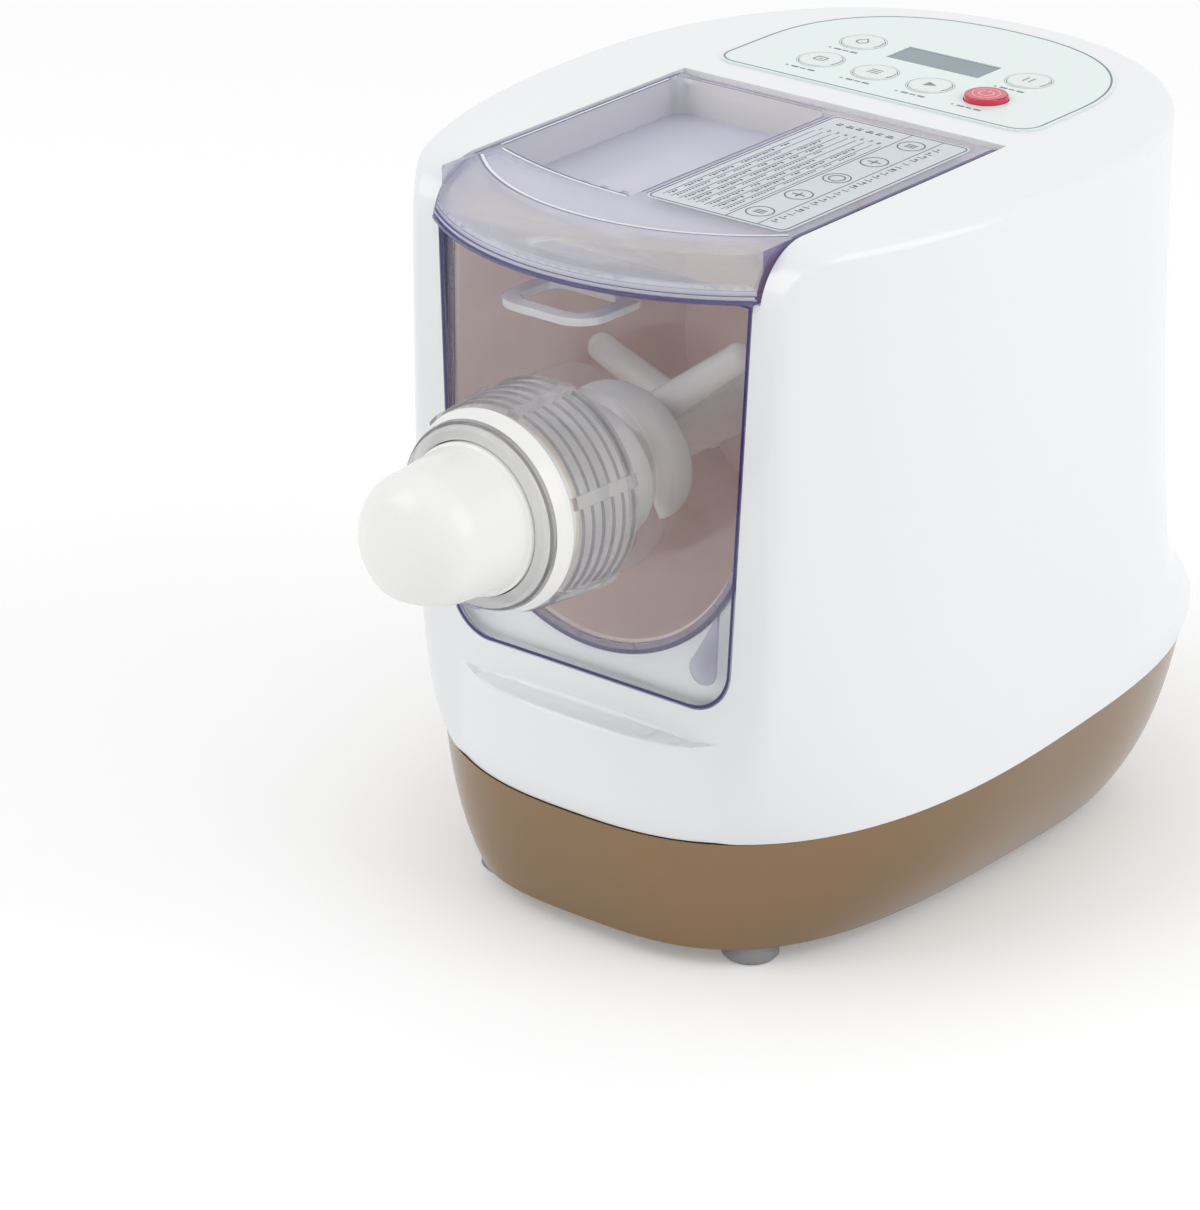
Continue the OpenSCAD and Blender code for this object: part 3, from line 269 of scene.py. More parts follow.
def see_through(name, square_on, along, thin, thick, roughness, clarity):
    """Clear polycarbonate: pale square on, tinted and denser where the wall is seen edge on.

    thin and thick are how much of the light its wall catches either way, clarity is 1 without any milkiness.
    """
    made = bpy.data.materials.get(name)
    if made:
        return made
    made = finish(name, square_on, roughness, IOR=1.49, Transmission_Weight=clarity)
    tree = made.node_tree
    shader = tree.nodes["Principled BSDF"]
    facing = node(tree, "ShaderNodeLayerWeight", {"Blend": SIDELONG})
    shade = node(tree, "ShaderNodeValToRGB", (), [(0, facing.outputs["Facing"])])
    low, high = shade.color_ramp.elements
    low.position, high.position = TINT_TURN
    low.color, high.color = linear(square_on), linear(along)
    tree.links.new(shade.outputs[0], shader.inputs["Base Color"])
    dense = node(tree, "ShaderNodeMapRange",
                 {"From Min": DENSE_TURN[0], "From Max": DENSE_TURN[1], "To Min": thin, "To Max": thick},
                 [("Value", facing.outputs["Facing"])])
    tree.links.new(dense.outputs[0], shader.inputs["Alpha"])
    return made


def moulded_white():
    # ABS moulded in a polished tool: clean white, a tight soft-edged highlight, the faintest orange peel
    return finish("moulded_abs_white", finishes().housing, 0.2, (6, 0.03, 0.004),
                  IOR=1.52, Coat_Weight=0.25, Coat_Roughness=0.06)


def bronze_lacquer():
    # Metallic lacquer sprayed on ABS: its flake, drawn at 0.7 mm so that it shows, gives a satin sheen
    return finish("champagne_lacquer", finishes().base, 0.3, (0.7, 0.02, 0),
                  Metallic=0.7, Coat_Weight=0.4, Coat_Roughness=0.12)


def soft_rubber():
    # Moulded silicone rubber: dull and slightly translucent
    return finish("silicone_rubber_grey", "#8E8F92", 0.55, (1.5, 0.08, 0.01),
                  Subsurface_Weight=0.2, Subsurface_Scale=0.002)


def clear_plastic():
    # Clear polycarbonate, moulded and polished: a cool violet cast along its edges
    return see_through("polycarbonate_clear", finishes().clear, finishes().edge, 0.09, 0.45, 0.03, 0.65)


def clear_lid():
    # The lid's polycarbonate is thicker, so it takes a little more tint
    return see_through("polycarbonate_lid", "#FBFCFF", finishes().edge, 0.38, 0.8, 0.03, 0.36)


def clear_tray():
    # Tray floor and walls, moulded with a fine matt texture: pale violet and milky
    return see_through("polycarbonate_matt", "#FAFBFF", "#C4C4EC", 0.66, 0.88, 0.14, 0.22)


def clear_rim_tint_and_shade():
    # The same plastic seen through its edge, where light piles up violet; on the lip's steps the same dark
    # violet is painted shade
    return see_through("polycarbonate_edge_tint_and_shade", "#7771B4", "#4A4390", 0.8, 0.95, 0.06, 0.7)


def clear_lip():
    # Ribbed band of the lid's lip: many small facets, so it looks milky blue
    return see_through("polycarbonate_ribbed", "#F8F9FF", "#A2A2D8", 0.6, 0.9, 0.1, 0.25)


def clear_loop():
    # The finger loop: a thick polished bar, made milky white as a painted highlight for the light it gathers
    return see_through("polycarbonate_loop_painted_highlight", "#FFFFFF", "#9A97A8", 0.5, 0.85, 0.04, 0.25)


def clear_catch():
    # Violet-grey catches, moulded thick in the panel's clear plastic: partly its tint in the thick plastic,
    # partly painted shade
    return see_through("polycarbonate_catch_tint_and_shade", "#A09AB8", "#5C558C", 0.7, 0.92, 0.1, 0.8)


def clear_nut_plastic():
    # Thick polished polycarbonate: its ribs bend the light into bright and dark lines
    return see_through("polycarbonate_nut", "#FFFFFF", "#E2E3EC", 0.24, 0.75, 0.02, 0.6)


def painted_highlight():
    # Painted highlight: near-white strips laid where a polished radius of a clear moulding would mirror the
    # lamps as a white line
    return finish("painted_highlight_line", "#F7F8FF", 0.12, (3, 0.02, 0), Alpha=0.85, Coat_Weight=0.3)


def clear_ring():
    # Front ring of the nut: thick polished plastic, made milky white as a painted highlight for the light it
    # gathers inside
    return see_through("polycarbonate_ring_painted_highlight", "#FFFFFF", "#A9A8B4", 0.6, 0.9, 0.03, 0.25)


def clear_shadow():
    # Painted shade: flanks of the nut's ribs coloured dark grey for the dark lines the clear plastic bends
    # the light into
    return see_through("polycarbonate_flank_painted_shade", "#8F8A92", "#5A5562", 0.7, 0.9, 0.05, 0.6)


def violet_edge_shade():
    # Edge of a clear moulding, drawn as a dark violet line: partly its real tint, partly painted shade
    return finish("violet_edge_painted_shade", finishes().violet, 0.3, (0.8, 0.04, 0), Coat_Weight=0.3)


def violet_rubber():
    # Translucent silicone seal pressed on the panel: pale violet over its thin lips
    return finish("silicone_violet", "#A596AF", 0.3, (2, 0.05, 0), Coat_Weight=0.3, Alpha=0.5)


def chamber_plastic():
    # Moulded copolyester trough, satin inside, with a faint warm cloud from the compound
    return finish("moulded_chamber", finishes().chamber, 0.34, (30, 0.05, 0.01, "#F0D9D1"))


def milk_white():
    # Machined acetal: milk white with light under the skin
    return finish("acetal_white", "#F6F6F3", 0.26, (8, 0.006, 0),
                  Subsurface_Weight=0.1, Subsurface_Scale=0.002, Coat_Weight=0.1)


def printed_sheet():
    # Printed polyester sheet over the crown: pale mint with a satin grain
    return finish("printed_polyester", finishes().sheet, 0.34, (0.8, 0.04, 0.002), Coat_Weight=0.15)


def grey_ink():
    # Screen printed grey ink
    return finish("screen_ink_grey", "#7F8A8E", 0.5, (0.6, 0.05, 0))


def faint_ink():
    # Screen printed pale grey ink of the rings round the keys
    return finish("screen_ink_pale", "#AFB9BB", 0.5, (0.6, 0.05, 0))


def dark_ink():
    # Screen printed blue-black ink
    return finish("screen_ink_dark", "#39405A", 0.5, (0.6, 0.05, 0))


def frosted_film():
    # Frosted polyester label, which lets some of the lid's violet through
    return finish("frosted_film", "#E4EAF0", 0.4, (0.8, 0.06, 0.002), Alpha=0.82)


def display_cover():
    # Clear acrylic bonded over a reflective liquid crystal: slate blue, glossy
    return finish("display_acrylic", finishes().display, 0.14, (20, 0.02, 0, "#647F89"), Coat_Weight=0.4)


def key_plastic():
    # Satin moulded ABS, a little cooler than the housing
    return finish("moulded_key", "#E6F0ED", 0.3, (1, 0.04, 0.003), Coat_Weight=0.15)


def red_plastic():
    # Gloss coloured ABS
    return finish("moulded_key_red", finishes().power, 0.22, (4, 0.03, 0), Coat_Weight=0.4)


def red_ink():
    # Pale mark printed on the red key
    return finish("screen_ink_rose", "#F3B9C4", 0.5, (0.6, 0.05, 0))


def plated_steel():
    # Zinc plated steel: neutral grey, fine rolling marks in its gloss
    return finish("plated_steel", "#B9BBBE", 0.3, (0.9, 0.08, 0.002), Metallic=1.0)


def black_nylon():
    # Glass filled nylon: near black, dull and slightly grainy
    return finish("nylon_black", "#1F2022", 0.48, (0.7, 0.08, 0.01))


def circuit_laminate():
    # Glass fibre laminate under green solder mask, with the weave's cloud
    return finish("solder_mask_green", "#1B5A38", 0.36, (1.5, 0.05, 0, "#22683F"))


def gear_acetal():
    # Acetal gears, tan from their grease
    return finish("acetal_tan", "#CDB68C", 0.4, (2, 0.08, 0, "#C2A878"))


def gasket_silicone():
    # Beige food grade silicone
    return finish("silicone_beige", "#D8C3A2", 0.5, (1.2, 0.06, 0.006))


def cast_metal():
    # Die cast aluminium, matt from the mould
    return finish("cast_aluminium", "#B4B6B9", 0.45, (1.2, 0.1, 0.01), Metallic=1.0)


# ---- Meshes ------------------------------------------------------------------

CRISP = 30                      # degrees above which an edge stays sharp
WELD = 0.001 * MM               # corners nearer than this become one
NEARLY_FLAT = math.radians(0.6)


def body_of(node_name):
    """The body a CAD node rides on."""
    for name, nodes in frame["record"]["behaviour"]["bodies"].items():
        if node_name in nodes:
            return name
    raise ValueError("no body carries " + node_name)


def mesh_object(name, bm):
    """A new object in the scene, made from a bmesh that isn't needed any more."""
    mesh = bpy.data.meshes.new(name)
    bm.to_mesh(mesh)
    bm.free()
    made = bpy.data.objects.new(name, mesh)
    bpy.context.scene.collection.objects.link(made)
    return made


def piece(name, bm, look, body, stands_for=(), rounding=0.0):
    """Turns a bmesh with outward faces into a finished object that rides on a body."""
    made = mesh_object(name, bm)
    mesh = made.data
    for each in look if isinstance(look, tuple) else (look,):
        mesh.materials.append(each)
    shade(mesh, CRISP)
    if rounding:
        soften(made, rounding, CRISP)
    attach(made, body)
    if stands_for:
        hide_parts(*stands_for)
    return made


def shade(mesh, crisp):
    """Shades a mesh smooth, apart from edges sharper than crisp degrees."""
    mesh.shade_smooth()
    mesh.set_sharp_from_angle(angle=math.radians(crisp))


def soften(target, width, crisp):
    """Rounds the edges of a piece that are sharper than crisp degrees."""
    soft = target.modifiers.new("rounding", "BEVEL")
    soft.width = width
    soft.segments = 2
    soft.limit_method = "ANGLE"
    soft.angle_limit = math.radians(crisp)
    soft.harden_normals = True


def new_piece(name, bm, look, body):
    """A piece from a fresh bmesh, whose faces are first turned outwards."""
    bmesh.ops.recalc_face_normals(bm, faces=bm.faces)
    return piece(name, bm, look, body)


def cad_copy(node_name, look, rounding, accents=()):
    """A merged, softly edged copy of a CAD node, which it replaces.

    accents are (look, test) pairs: faces whose middle and normal pass the test get that look.
    """
    bm = bmesh.new()
    bm.from_mesh(frame["nodes"][node_name].data)
    bmesh.ops.remove_doubles(bm, verts=bm.verts, dist=WELD)
    bmesh.ops.dissolve_limit(bm, angle_limit=NEARLY_FLAT, verts=bm.verts, edges=bm.edges)
    for slot, (_, test) in enumerate(accents):
        for face in bm.faces:
            if test(face.calc_center_median(), face.normal):
                face.material_index = slot + 1
    looks = (look,) + tuple(accent for accent, _ in accents)
    return piece(node_name + "_finished", bm, looks, body_of(node_name), (node_name,), rounding)


def on_top():
    """Turns what is drawn level at the crown to the slope of the crown."""
    h = housing()
    up = Matrix.Translation((0, h.crown_pivot, h.crown_height))
    return up @ Matrix.Rotation(h.crown_tilt, 4, "X") @ up.inverted()


def block(bm, low, high):
    """Adds a box between two corners."""
    middle = [(a + b) / 2 for a, b in zip(low, high)]
    span = [b - a for a, b in zip(low, high)]
    bmesh.ops.create_cube(bm, size=1, matrix=Matrix.Translation(middle) @ Matrix.Diagonal(span + [1]))


def drill(bm, radius, depth, steps, place):
    """Adds a cylinder along Z, placed by a matrix."""
    bmesh.ops.create_cone(bm, cap_ends=True, segments=steps, radius1=radius, radius2=radius, depth=depth,
                          matrix=place)


def laid(bm, outline, along, level):
    """Vertices of a flat outline of (u, w) points across Y (u is X, w is Z) or across Z (w is Y)."""
    return [bm.verts.new((u, level, w) if along == "Y" else (u, w, level)) for u, w in outline]


def push_out(bm, faces, along, length):
    """Extrudes faces along Y or Z."""
    made = bmesh.ops.extrude_face_region(bm, geom=faces)["geom"]
    bmesh.ops.translate(bm, verts=[v for v in made if isinstance(v, bmesh.types.BMVert)],
                        vec=(0, length, 0) if along == "Y" else (0, 0, length))


def prism(bm, outline, along, start, length):
    """Adds a flat outline pushed along Y or Z."""
    push_out(bm, [bm.faces.new(laid(bm, outline, along, start))], along, length)


def arc(cu, cw, radius, start, end, count):
    """Points on an arc; angles in degrees."""
    turns = [math.radians(start + (end - start) * i / count) for i in range(count + 1)]
    return [(cu + radius * math.cos(turn), cw + radius * math.sin(turn)) for turn in turns]


def round_rect(x0, x1, y0, y1, r, count=8):
    """Outline of a rectangle with round corners."""
    return (arc(x1 - r, y1 - r, r, 0, 90, count) + arc(x0 + r, y1 - r, r, 90, 180, count)
            + arc(x0 + r, y0 + r, r, 180, 270, count) + arc(x1 - r, y0 + r, r, 270, 360, count))


def cutter(bm):
    """A throwaway object for a boolean."""
    bmesh.ops.recalc_face_normals(bm, faces=bm.faces)
    return mesh_object("cutter", bm)


def carve(target, cutters, crisp):
    """Cuts each cutter out of the target and applies what modifiers it has."""
    for tool in cutters:
        cut = target.modifiers.new("cut", "BOOLEAN")
        cut.operation = "DIFFERENCE"
        cut.solver = "EXACT"
        cut.object = tool
    graph = bpy.context.evaluated_depsgraph_get()
    old = target.data
    new = bpy.data.meshes.new_from_object(target.evaluated_get(graph))
    target.modifiers.clear()
    target.data = new
    bpy.data.meshes.remove(old)
    for tool in cutters:
        data = tool.data
        bpy.data.objects.remove(tool)
        bpy.data.meshes.remove(data)
    shade(new, crisp)


# ---- Printed marks, drawn level on the crown and then tilted with it ----------------------

RING_STEPS = 40                 # faces round a whole ring of ink
DEGREES_A_STEP = 4              # and degrees to a face where it is part of one


def dash(bm, x0, x1, y0, y1, z):
    """A short bar of ink."""
    block(bm, (x0, y0, z), (x1, y1, z + controls().ink))


def hoop(bm, x, y, radius, width, z, start=0.0, sweep=360.0):
    """A ring of ink, or part of one, turned from its section."""
    ink = controls().ink
    turn = Matrix.Rotation(math.radians(start), 4, "Z")
    corners = [Vector((r, 0, h)) for r, h in ((radius - width / 2, 0), (radius + width / 2, 0),
                                              (radius + width / 2, ink), (radius - width / 2, ink))]
    ring = [bm.verts.new(Vector((x, y, z)) + turn @ c) for c in corners]
    section = bm.faces.new(ring)
    edges = list(section.edges)
    about = {"cent": (x, y, z), "axis": (0, 0, 1), "use_duplicate": False}
    if sweep >= 360:
        bm.faces.remove(section)
        bmesh.ops.spin(bm, geom=ring + edges, angle=2 * math.pi, steps=RING_STEPS, use_merge=True, **about)
    else:
        bmesh.ops.spin(bm, geom=ring + edges + [section], angle=math.radians(sweep),
                       steps=int(sweep / DEGREES_A_STEP) + 3, use_merge=False, **about)
        bmesh.ops.contextual_create(bm, geom=edges)


def band(bm, outer, inner, level, along="Z"):
    """A thin band between two outlines with as many points, raised along Z or along Y."""
    loops = []
    for outline in (outer, inner):
        ring = laid(bm, outline, along, level)
        loops += [bm.edges.new(pair) for pair in zip(ring, ring[1:] + ring[:1])]
    push_out(bm, bmesh.ops.bridge_loops(bm, edges=loops)["faces"], along, controls().ink)


def digits(bm, text, x, y, height, z):
    """Plain numerals of ink."""
    curve = bpy.data.curves.new("numerals", "FONT")
    curve.body = text
    curve.size = height * 1.4
    curve.resolution_u = 2
    curve.extrude = controls().ink / 2
    typed = bpy.data.objects.new("numerals", curve)
    bpy.context.scene.collection.objects.link(typed)
    mesh = bpy.data.meshes.new_from_object(typed.evaluated_get(bpy.context.evaluated_depsgraph_get()))
    mesh.transform(Matrix.Translation((x, y, z + controls().ink / 2)))
    bm.from_mesh(mesh)
    bpy.data.objects.remove(typed)
    bpy.data.curves.remove(curve)
    bpy.data.meshes.remove(mesh)


def print_marks(name, bm, ink, body):
    """Finishes marks that were drawn level."""
    bmesh.ops.transform(bm, matrix=on_top(), verts=bm.verts)
    return new_piece(name, bm, ink, body)


# ---- Housing form ----------------------------------------------------------------

def mix(a, b, t):
    """From a to b as t goes from 0 to 1."""
    return a + (b - a) * t


def smooth(t):
    """An S curve from 0 to 1."""
    t = min(max(t, 0), 1)
    return t * t * (3 - 2 * t)


def soft_max(a, b, k):
    """The larger of two, blended where they are nearer than k."""
    gap = max(k - abs(a - b), 0) / k
    return max(a, b) + gap * gap * k / 4


def oval(turn, half, front, back, squareness):
    """A point of an oval whose front and rear halves have their own reach."""
    c, s = math.cos(turn), math.sin(turn)
    x = half * math.copysign(abs(c) ** (2 / squareness), c)
    y = (front if s < 0 else back) * math.copysign(abs(s) ** (2 / squareness), s)
    return x, y


SEAM_BEND = 0.75                # how much of the seam's rise comes early


def seam_height(y):
    """Height of the seam, which climbs towards the rear."""
    h = housing()
    s = (y - (h.seam_y - h.seam_front)) / (h.seam_front + h.seam_back)
    return h.seam_z + h.seam_rise * s * (1 + SEAM_BEND - SEAM_BEND * s)


def crown_at(y):
    """Height of the sloping crown."""
    h = housing()
    return h.crown_height + (y - h.crown_pivot) * math.tan(h.crown_tilt)


CROWN_SQUARE, SEAM_SQUARE, UNDER_SQUARE = 2.2, 2.6, 3.1     # 2 is an ellipse, more is squarer
FLARE, FLARE_BEND = 1.18, 2.3   # reach at the seam, and how fast it fades towards the crown
TOE, TOE_BEND = 0.34, 9         # the same for the toe, which is at the front only
HIP, HIP_LEVEL, HIP_SPREAD = 0.5, 0.035, 0.04
HIP_START, HIP_BLEND = 0.3, 0.8     # where round the machine the toe turns into the hip
HULL_BEND = 0.46                # how late the base's sides turn in towards the underside
BASE_INSET = 1 * MM             # how far the base's top lies inside the housing's edge


def flare(v, turn):
    """How far the side has flared out at level v; towards the rear it has a soft hip just above the seam."""
    hip = HIP * math.exp(-((v - HIP_LEVEL) / HIP_SPREAD) ** 2 / 2)
    rearward = smooth((math.sin(turn) + HIP_START) / HIP_BLEND)
    return (FLARE - HIP) * (1 - v) ** FLARE_BEND + mix(TOE * (1 - v) ** TOE_BEND, hip, rearward)


def base_point(turn, w):
    """A point of the base; w is 0 at the seam and 1 at the flat underside."""
    h = housing()
    g = mix(w, w ** 3, HULL_BEND)
    x, y = oval(turn, mix(h.seam_half - BASE_INSET, h.under_half, g),
                mix(h.seam_front - BASE_INSET, h.under_front, g),
                mix(h.seam_back - BASE_INSET, h.under_back, g), mix(SEAM_SQUARE, UNDER_SQUARE, g))
    y += h.seam_y
    return x, y, mix(seam_height(y) - h.seam_gap, h.foot_height, w)


EDGE_ROUND, FOOT_ROUND = 3 * MM, 5 * MM     # outer edge and inner fillet of the ledge
EDGE_SHARE, FOOT_SHARE = 0.22, 0.36         # how much of the step each of them takes
LEDGE_FADE = 2.5                            # how much softer the step is at the ledge's ends
BOW_BEND, BOW_BLEND = 3, 2 * MM             # how late the bow falls off sideways, and how softly it ends


def ledge_step(rise):
    """How far the wall has stepped back at a height above the ledge: 0 in front, 1 at the face."""
    if rise <= -EDGE_ROUND:
        return 0
    if rise <= 0:
        return EDGE_SHARE * (1 - math.sqrt(1 - (rise / EDGE_ROUND + 1) ** 2))
    if rise < FOOT_ROUND:
        return 1 - FOOT_SHARE + FOOT_SHARE * math.sqrt(1 - (1 - rise / FOOT_ROUND) ** 2)
    return 1


def faced(x, y, z, inset):
    """Pushes a point of the housing back to the front face, or to the bowed wall under the ledge."""
    h = housing()
    bow = soft_max(h.front_bow * (1 - (abs(x) / h.bow_half) ** BOW_BEND), 0, BOW_BLEND)
    reach = min(max(abs(x) - h.ledge_half, 0), h.ledge_corner)
    corner = h.ledge_corner - math.sqrt(h.ledge_corner ** 2 - reach ** 2)
    fade = 1 + LEDGE_FADE * smooth(reach / (h.bow_half - h.ledge_half))
    above = (z - h.ledge_z + inset - corner) / fade
    limit = h.face_y + inset - bow * (1 - ledge_step(above))
    rise = z - crown_at(h.face_y + h.brow) + h.brow
    if rise > 0:
        limit = h.face_y + h.brow - math.sqrt(max((h.brow - inset) ** 2 - rise ** 2, 0))
    return soft_max(y, limit, h.crease)


SETTLE = 3          # height and depth depend on each other, and settle in this many rounds


def housing_point(turn, v, edge, inset):
    """A point of the housing: v is 0 at the seam and 1 at the crown, edge turns over the crown's rounding."""
    h = housing()
    f = flare(v, turn) if v < 1 else 0
    drop, run = 0, inset + h.skin_in
    if v == 1:
        radius = h.crown_edge - inset / 2
        run += radius * (1 - math.cos(edge))
        drop = inset + radius * (1 - math.sin(edge))
    x, y0 = oval(turn, mix(h.crown_half, h.seam_half, f) - run, mix(h.crown_front, h.seam_front, f) - run,
                 mix(h.crown_back, h.seam_back, f) - run, mix(CROWN_SQUARE, SEAM_SQUARE, f))
    y0 += mix(h.crown_y, h.seam_y, f)
    y = y0
    for _ in range(SETTLE):
        z = mix(seam_height(y), crown_at(y), v) - drop
        y = faced(x, y0, z, inset)
    return x, y, z


def level_grid(rows, around, point):
    """A closed tube of around x rows faces, each corner placed by point(row, turn)."""
    bm = bmesh.new()
    bmesh.ops.create_grid(bm, x_segments=around, y_segments=rows, size=1)
    for v in bm.verts:
        v.co = point(int(round((v.co.y + 1) / 2 * rows)), v.co.x * math.pi)
    bmesh.ops.remove_doubles(bm, verts=bm.verts, dist=2 * WELD)
    bmesh.ops.recalc_face_normals(bm, faces=bm.faces)
    return bm


def skin_rows(parts, edge_rows, cap_rows, inset):
    """Rows of a skin from the seam to the middle of the crown.

    Each is (level, angle over the crown's edge, way across the cap, inset).
    parts are (from level, to level, rows).
    """
    levels = [mix(low, high, i / count) for low, high, count in parts for i in range(count)] + [parts[-1][1]]
    return ([(v, 0, 0, inset) for v in levels]
            + [(1, math.pi / 2 * i / edge_rows, 0, inset) for i in range(edge_rows + 1)]
            + [(1, math.pi / 2, i / cap_rows, inset) for i in range(1, cap_rows + 1)])


CORNER_STEPS, TROUGH_STEPS = 10, 64


def panel_outline(grow, top):
    """The panel's outline in X and Z: wider at the top, round at the bottom corners."""
    w = window()
    low, r, half = w.panel_low - grow, w.panel_corner + grow, w.panel_half_low + grow
    slope = (w.panel_half - w.panel_half_low) / (w.panel_top - w.panel_low)
    wide = half + slope * (top - low)
    return (arc(half - r, low + r, r, 270, 360, CORNER_STEPS) + [(wide, top), (-wide, top)]
            + arc(-half + r, low + r, r, 180, 270, CORNER_STEPS))


def trough_outline(radius, top):
    """The chamber's outline in X and Z: round below the shaft, with straight sides above it."""
    return [(radius, top), (-radius, top)] + arc(0, window().axis_z, radius, 180, 360, TROUGH_STEPS)


# From level, to level, rows: the rows are closer at the ledge and at the brow
OUTER_PARTS = (0, 0.146, 24), (0.146, 0.196, 34), (0.196, 0.9, 30), (0.9, 0.97, 12)
INNER_PARTS = (0, 0.12, 5), (0.12, 0.2, 14), (0.2, 0.88, 8), (0.88, 0.95, 4)
CRISP_CUT = 32                          # degrees above which an edge stays sharp on a piece with openings
PAST_FACE, PAST_CROWN = 60 * MM, 20 * MM    # how far cutters reach out of the housing
KEY_GAP, GLASS_GAP, GLASS_DEPTH = 0.3 * MM, 0.3 * MM, 12 * MM
VENT_SLOTS, VENT_IN = 13, 100 * MM      # how far behind the seam's centre the cutters of the vent start
VENT_REACH = 80 * MM
INLET_HALF, INLET_RISE, INLET_DEPTH = 27 * MM, 14 * MM, 6 * MM
FRAME_WALL, FRAME_DROP = 4 * MM, 2 * MM
TROUGH_WALL = 2.8 * MM


def build_housing():
    h, w, c = housing(), window(), controls()
    # One sheet: inside of the crown, down the inner wall, round the rim and up the outer wall
    outer = skin_rows(OUTER_PARTS, 8, 14, 0)
    inner = skin_rows(INNER_PARTS, 3, 4, h.wall)
    rows = inner[::-1] + outer

    def skin(row, turn):
        v, edge, across, inset = rows[row]
        x, y, z = housing_point(turn, v, edge, inset)
        if across:
            y = mix(y, h.crown_y, across)
            return Vector((x * (1 - across), y, crown_at(y) - inset))
        return Vector((x, y, z))

    bm = level_grid(len(rows) - 1, h.around, skin)
    shell = piece("housing_shell", bm, moulded_white(), "machine", ("upper_housing",))

    pocket = bmesh.new()
    prism(pocket, panel_outline(w.panel_gap, h.crown_height + PAST_CROWN / 2), "Y", h.face_y - PAST_FACE,
          PAST_FACE + w.pocket)
    keyholes = bmesh.new()
    hole = c.key_radius + KEY_GAP
    for x, y in key_places().values():
        drill(keyholes, hole, PAST_FACE / 2, 64, on_top() @ Matrix.Translation((x, y, c.sheet_top)))
    rear = bmesh.new()
    for i in range(VENT_SLOTS):
        x = (i - VENT_SLOTS // 2) * h.vent_pitch
        slot = round_rect(x - h.slot_half, x + h.slot_half, h.vent_low, h.vent_high,
                          h.slot_half - 0.01 * MM, 5)
        prism(rear, slot, "Y", h.seam_y + VENT_IN, VENT_REACH)
    (_, _, inlet_low), (_, inlet_y, inlet_high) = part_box("mains_inlet")
    inlet_z = (inlet_low + inlet_high) / 2
    block(rear, (-INLET_HALF, inlet_y - INLET_DEPTH, inlet_z - INLET_RISE),
          (INLET_HALF, inlet_y + PAST_FACE / 2, inlet_z + INLET_RISE))
    opening, glass = bmesh.new(), bmesh.new()
    reach = w.lid_half + w.lid_reveal
    block(opening, (-reach, h.face_y - PAST_FACE - PAST_CROWN, w.lip_z - 0.3 * MM),
          (reach, w.lid_back + w.lid_reveal, h.crown_height + PAST_CROWN))
    low, high = (Vector(corner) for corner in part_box("display_window"))
    block(glass, (low.x - GLASS_GAP, low.y - 0.2 * MM, h.crown_height - GLASS_DEPTH),
          (high.x + GLASS_GAP, high.y + 0.2 * MM, h.crown_height + PAST_CROWN))
    for each in (opening, glass):
        bmesh.ops.transform(each, verts=each.verts, matrix=on_top())
    carve(shell, [cutter(each) for each in (pocket, keyholes, rear, glass, opening)], CRISP_CUT)

    # Frame that carries the panel: walls and floor of the pocket
    bm = bmesh.new()
    prism(bm, panel_outline(FRAME_WALL, w.panel_top - FRAME_DROP), "Y", h.face_y + h.wall / 2,
          w.pocket + h.wall / 2)
    frame_piece = new_piece("panel_pocket", bm, moulded_white(), "machine")
    hollow, trough = bmesh.new(), bmesh.new()
    start = h.face_y - 10 * MM
    prism(hollow, panel_outline(w.panel_gap, h.crown_height), "Y", start, 10 * MM + w.pocket)
    prism(trough, trough_outline(w.trough + TROUGH_WALL, h.crown_height), "Y", start, 30 * MM)
    carve(frame_piece, [cutter(hollow), cutter(trough)], CRISP_CUT)


# Ways down the base where its rows lie, closer at both ends
BASE_LEVELS = 0, 0.03, 0.07, 0.12, 0.18, 0.25, 0.33, 0.42, 0.52, 0.62, 0.72, 0.82, 0.9, 0.95, 0.98, 1
BASE_RIM = 0.03                         # how far the top's rim turns in
BASE_CAP_ROWS = 12
CRISP_BASE = 35                         # degrees above which an edge of the base stays sharp
BASE_SLOTS, SLOT_PITCH, SLOTS_BACK, SLOTS_HALF = 11, 6 * MM, 36 * MM, 30 * MM


def build_base():
    h = housing()
    count = len(BASE_LEVELS)

    def skin(row, turn):
        if row == 0:
            x, y, z = base_point(turn, 0)
            return Vector((x * (1 - BASE_RIM), mix(y, h.seam_y, BASE_RIM), z))
        if row <= count:
            return Vector(base_point(turn, BASE_LEVELS[row - 1]))
        x, y, z = base_point(turn, 1)
        t = (row - count) / BASE_CAP_ROWS
        return Vector((x * (1 - t), mix(y, h.seam_y, t), z))

    bm = level_grid(count + BASE_CAP_ROWS, h.around, skin)
    base = piece("base_shell", bm, bronze_lacquer(), "machine", ("base_pan",))
    thick = base.modifiers.new("wall", "SOLIDIFY")
    thick.thickness = h.base_wall
    thick.offset = -1
    slots = bmesh.new()
    for i in range(BASE_SLOTS):
        y = h.seam_y + SLOTS_BACK + (i - BASE_SLOTS // 2) * SLOT_PITCH
        block(slots, (-SLOTS_HALF, y - h.slot_half, 0), (SLOTS_HALF, y + h.slot_half, SLOTS_HALF))
    carve(base, [cutter(slots)], CRISP_BASE)


# ---- Controls --------------------------------------------------------------------

KEY_SIGNS = {"power": "broken ring", "start": "arrow", "menu": "lines", "weight": "square", "clean": "drop",
             "pause": "bars"}


def key_places():
    """Where each key stands in X and Y."""
    c = controls()
    row = enumerate(("power", "start", "menu", "weight"))
    places = {name: ((1.5 - k) * c.key_pitch, c.row_y) for k, name in row}
    places["clean"] = (-c.pair_x, c.pair_y)
    places["pause"] = (c.pair_x, c.pair_y)
    return places


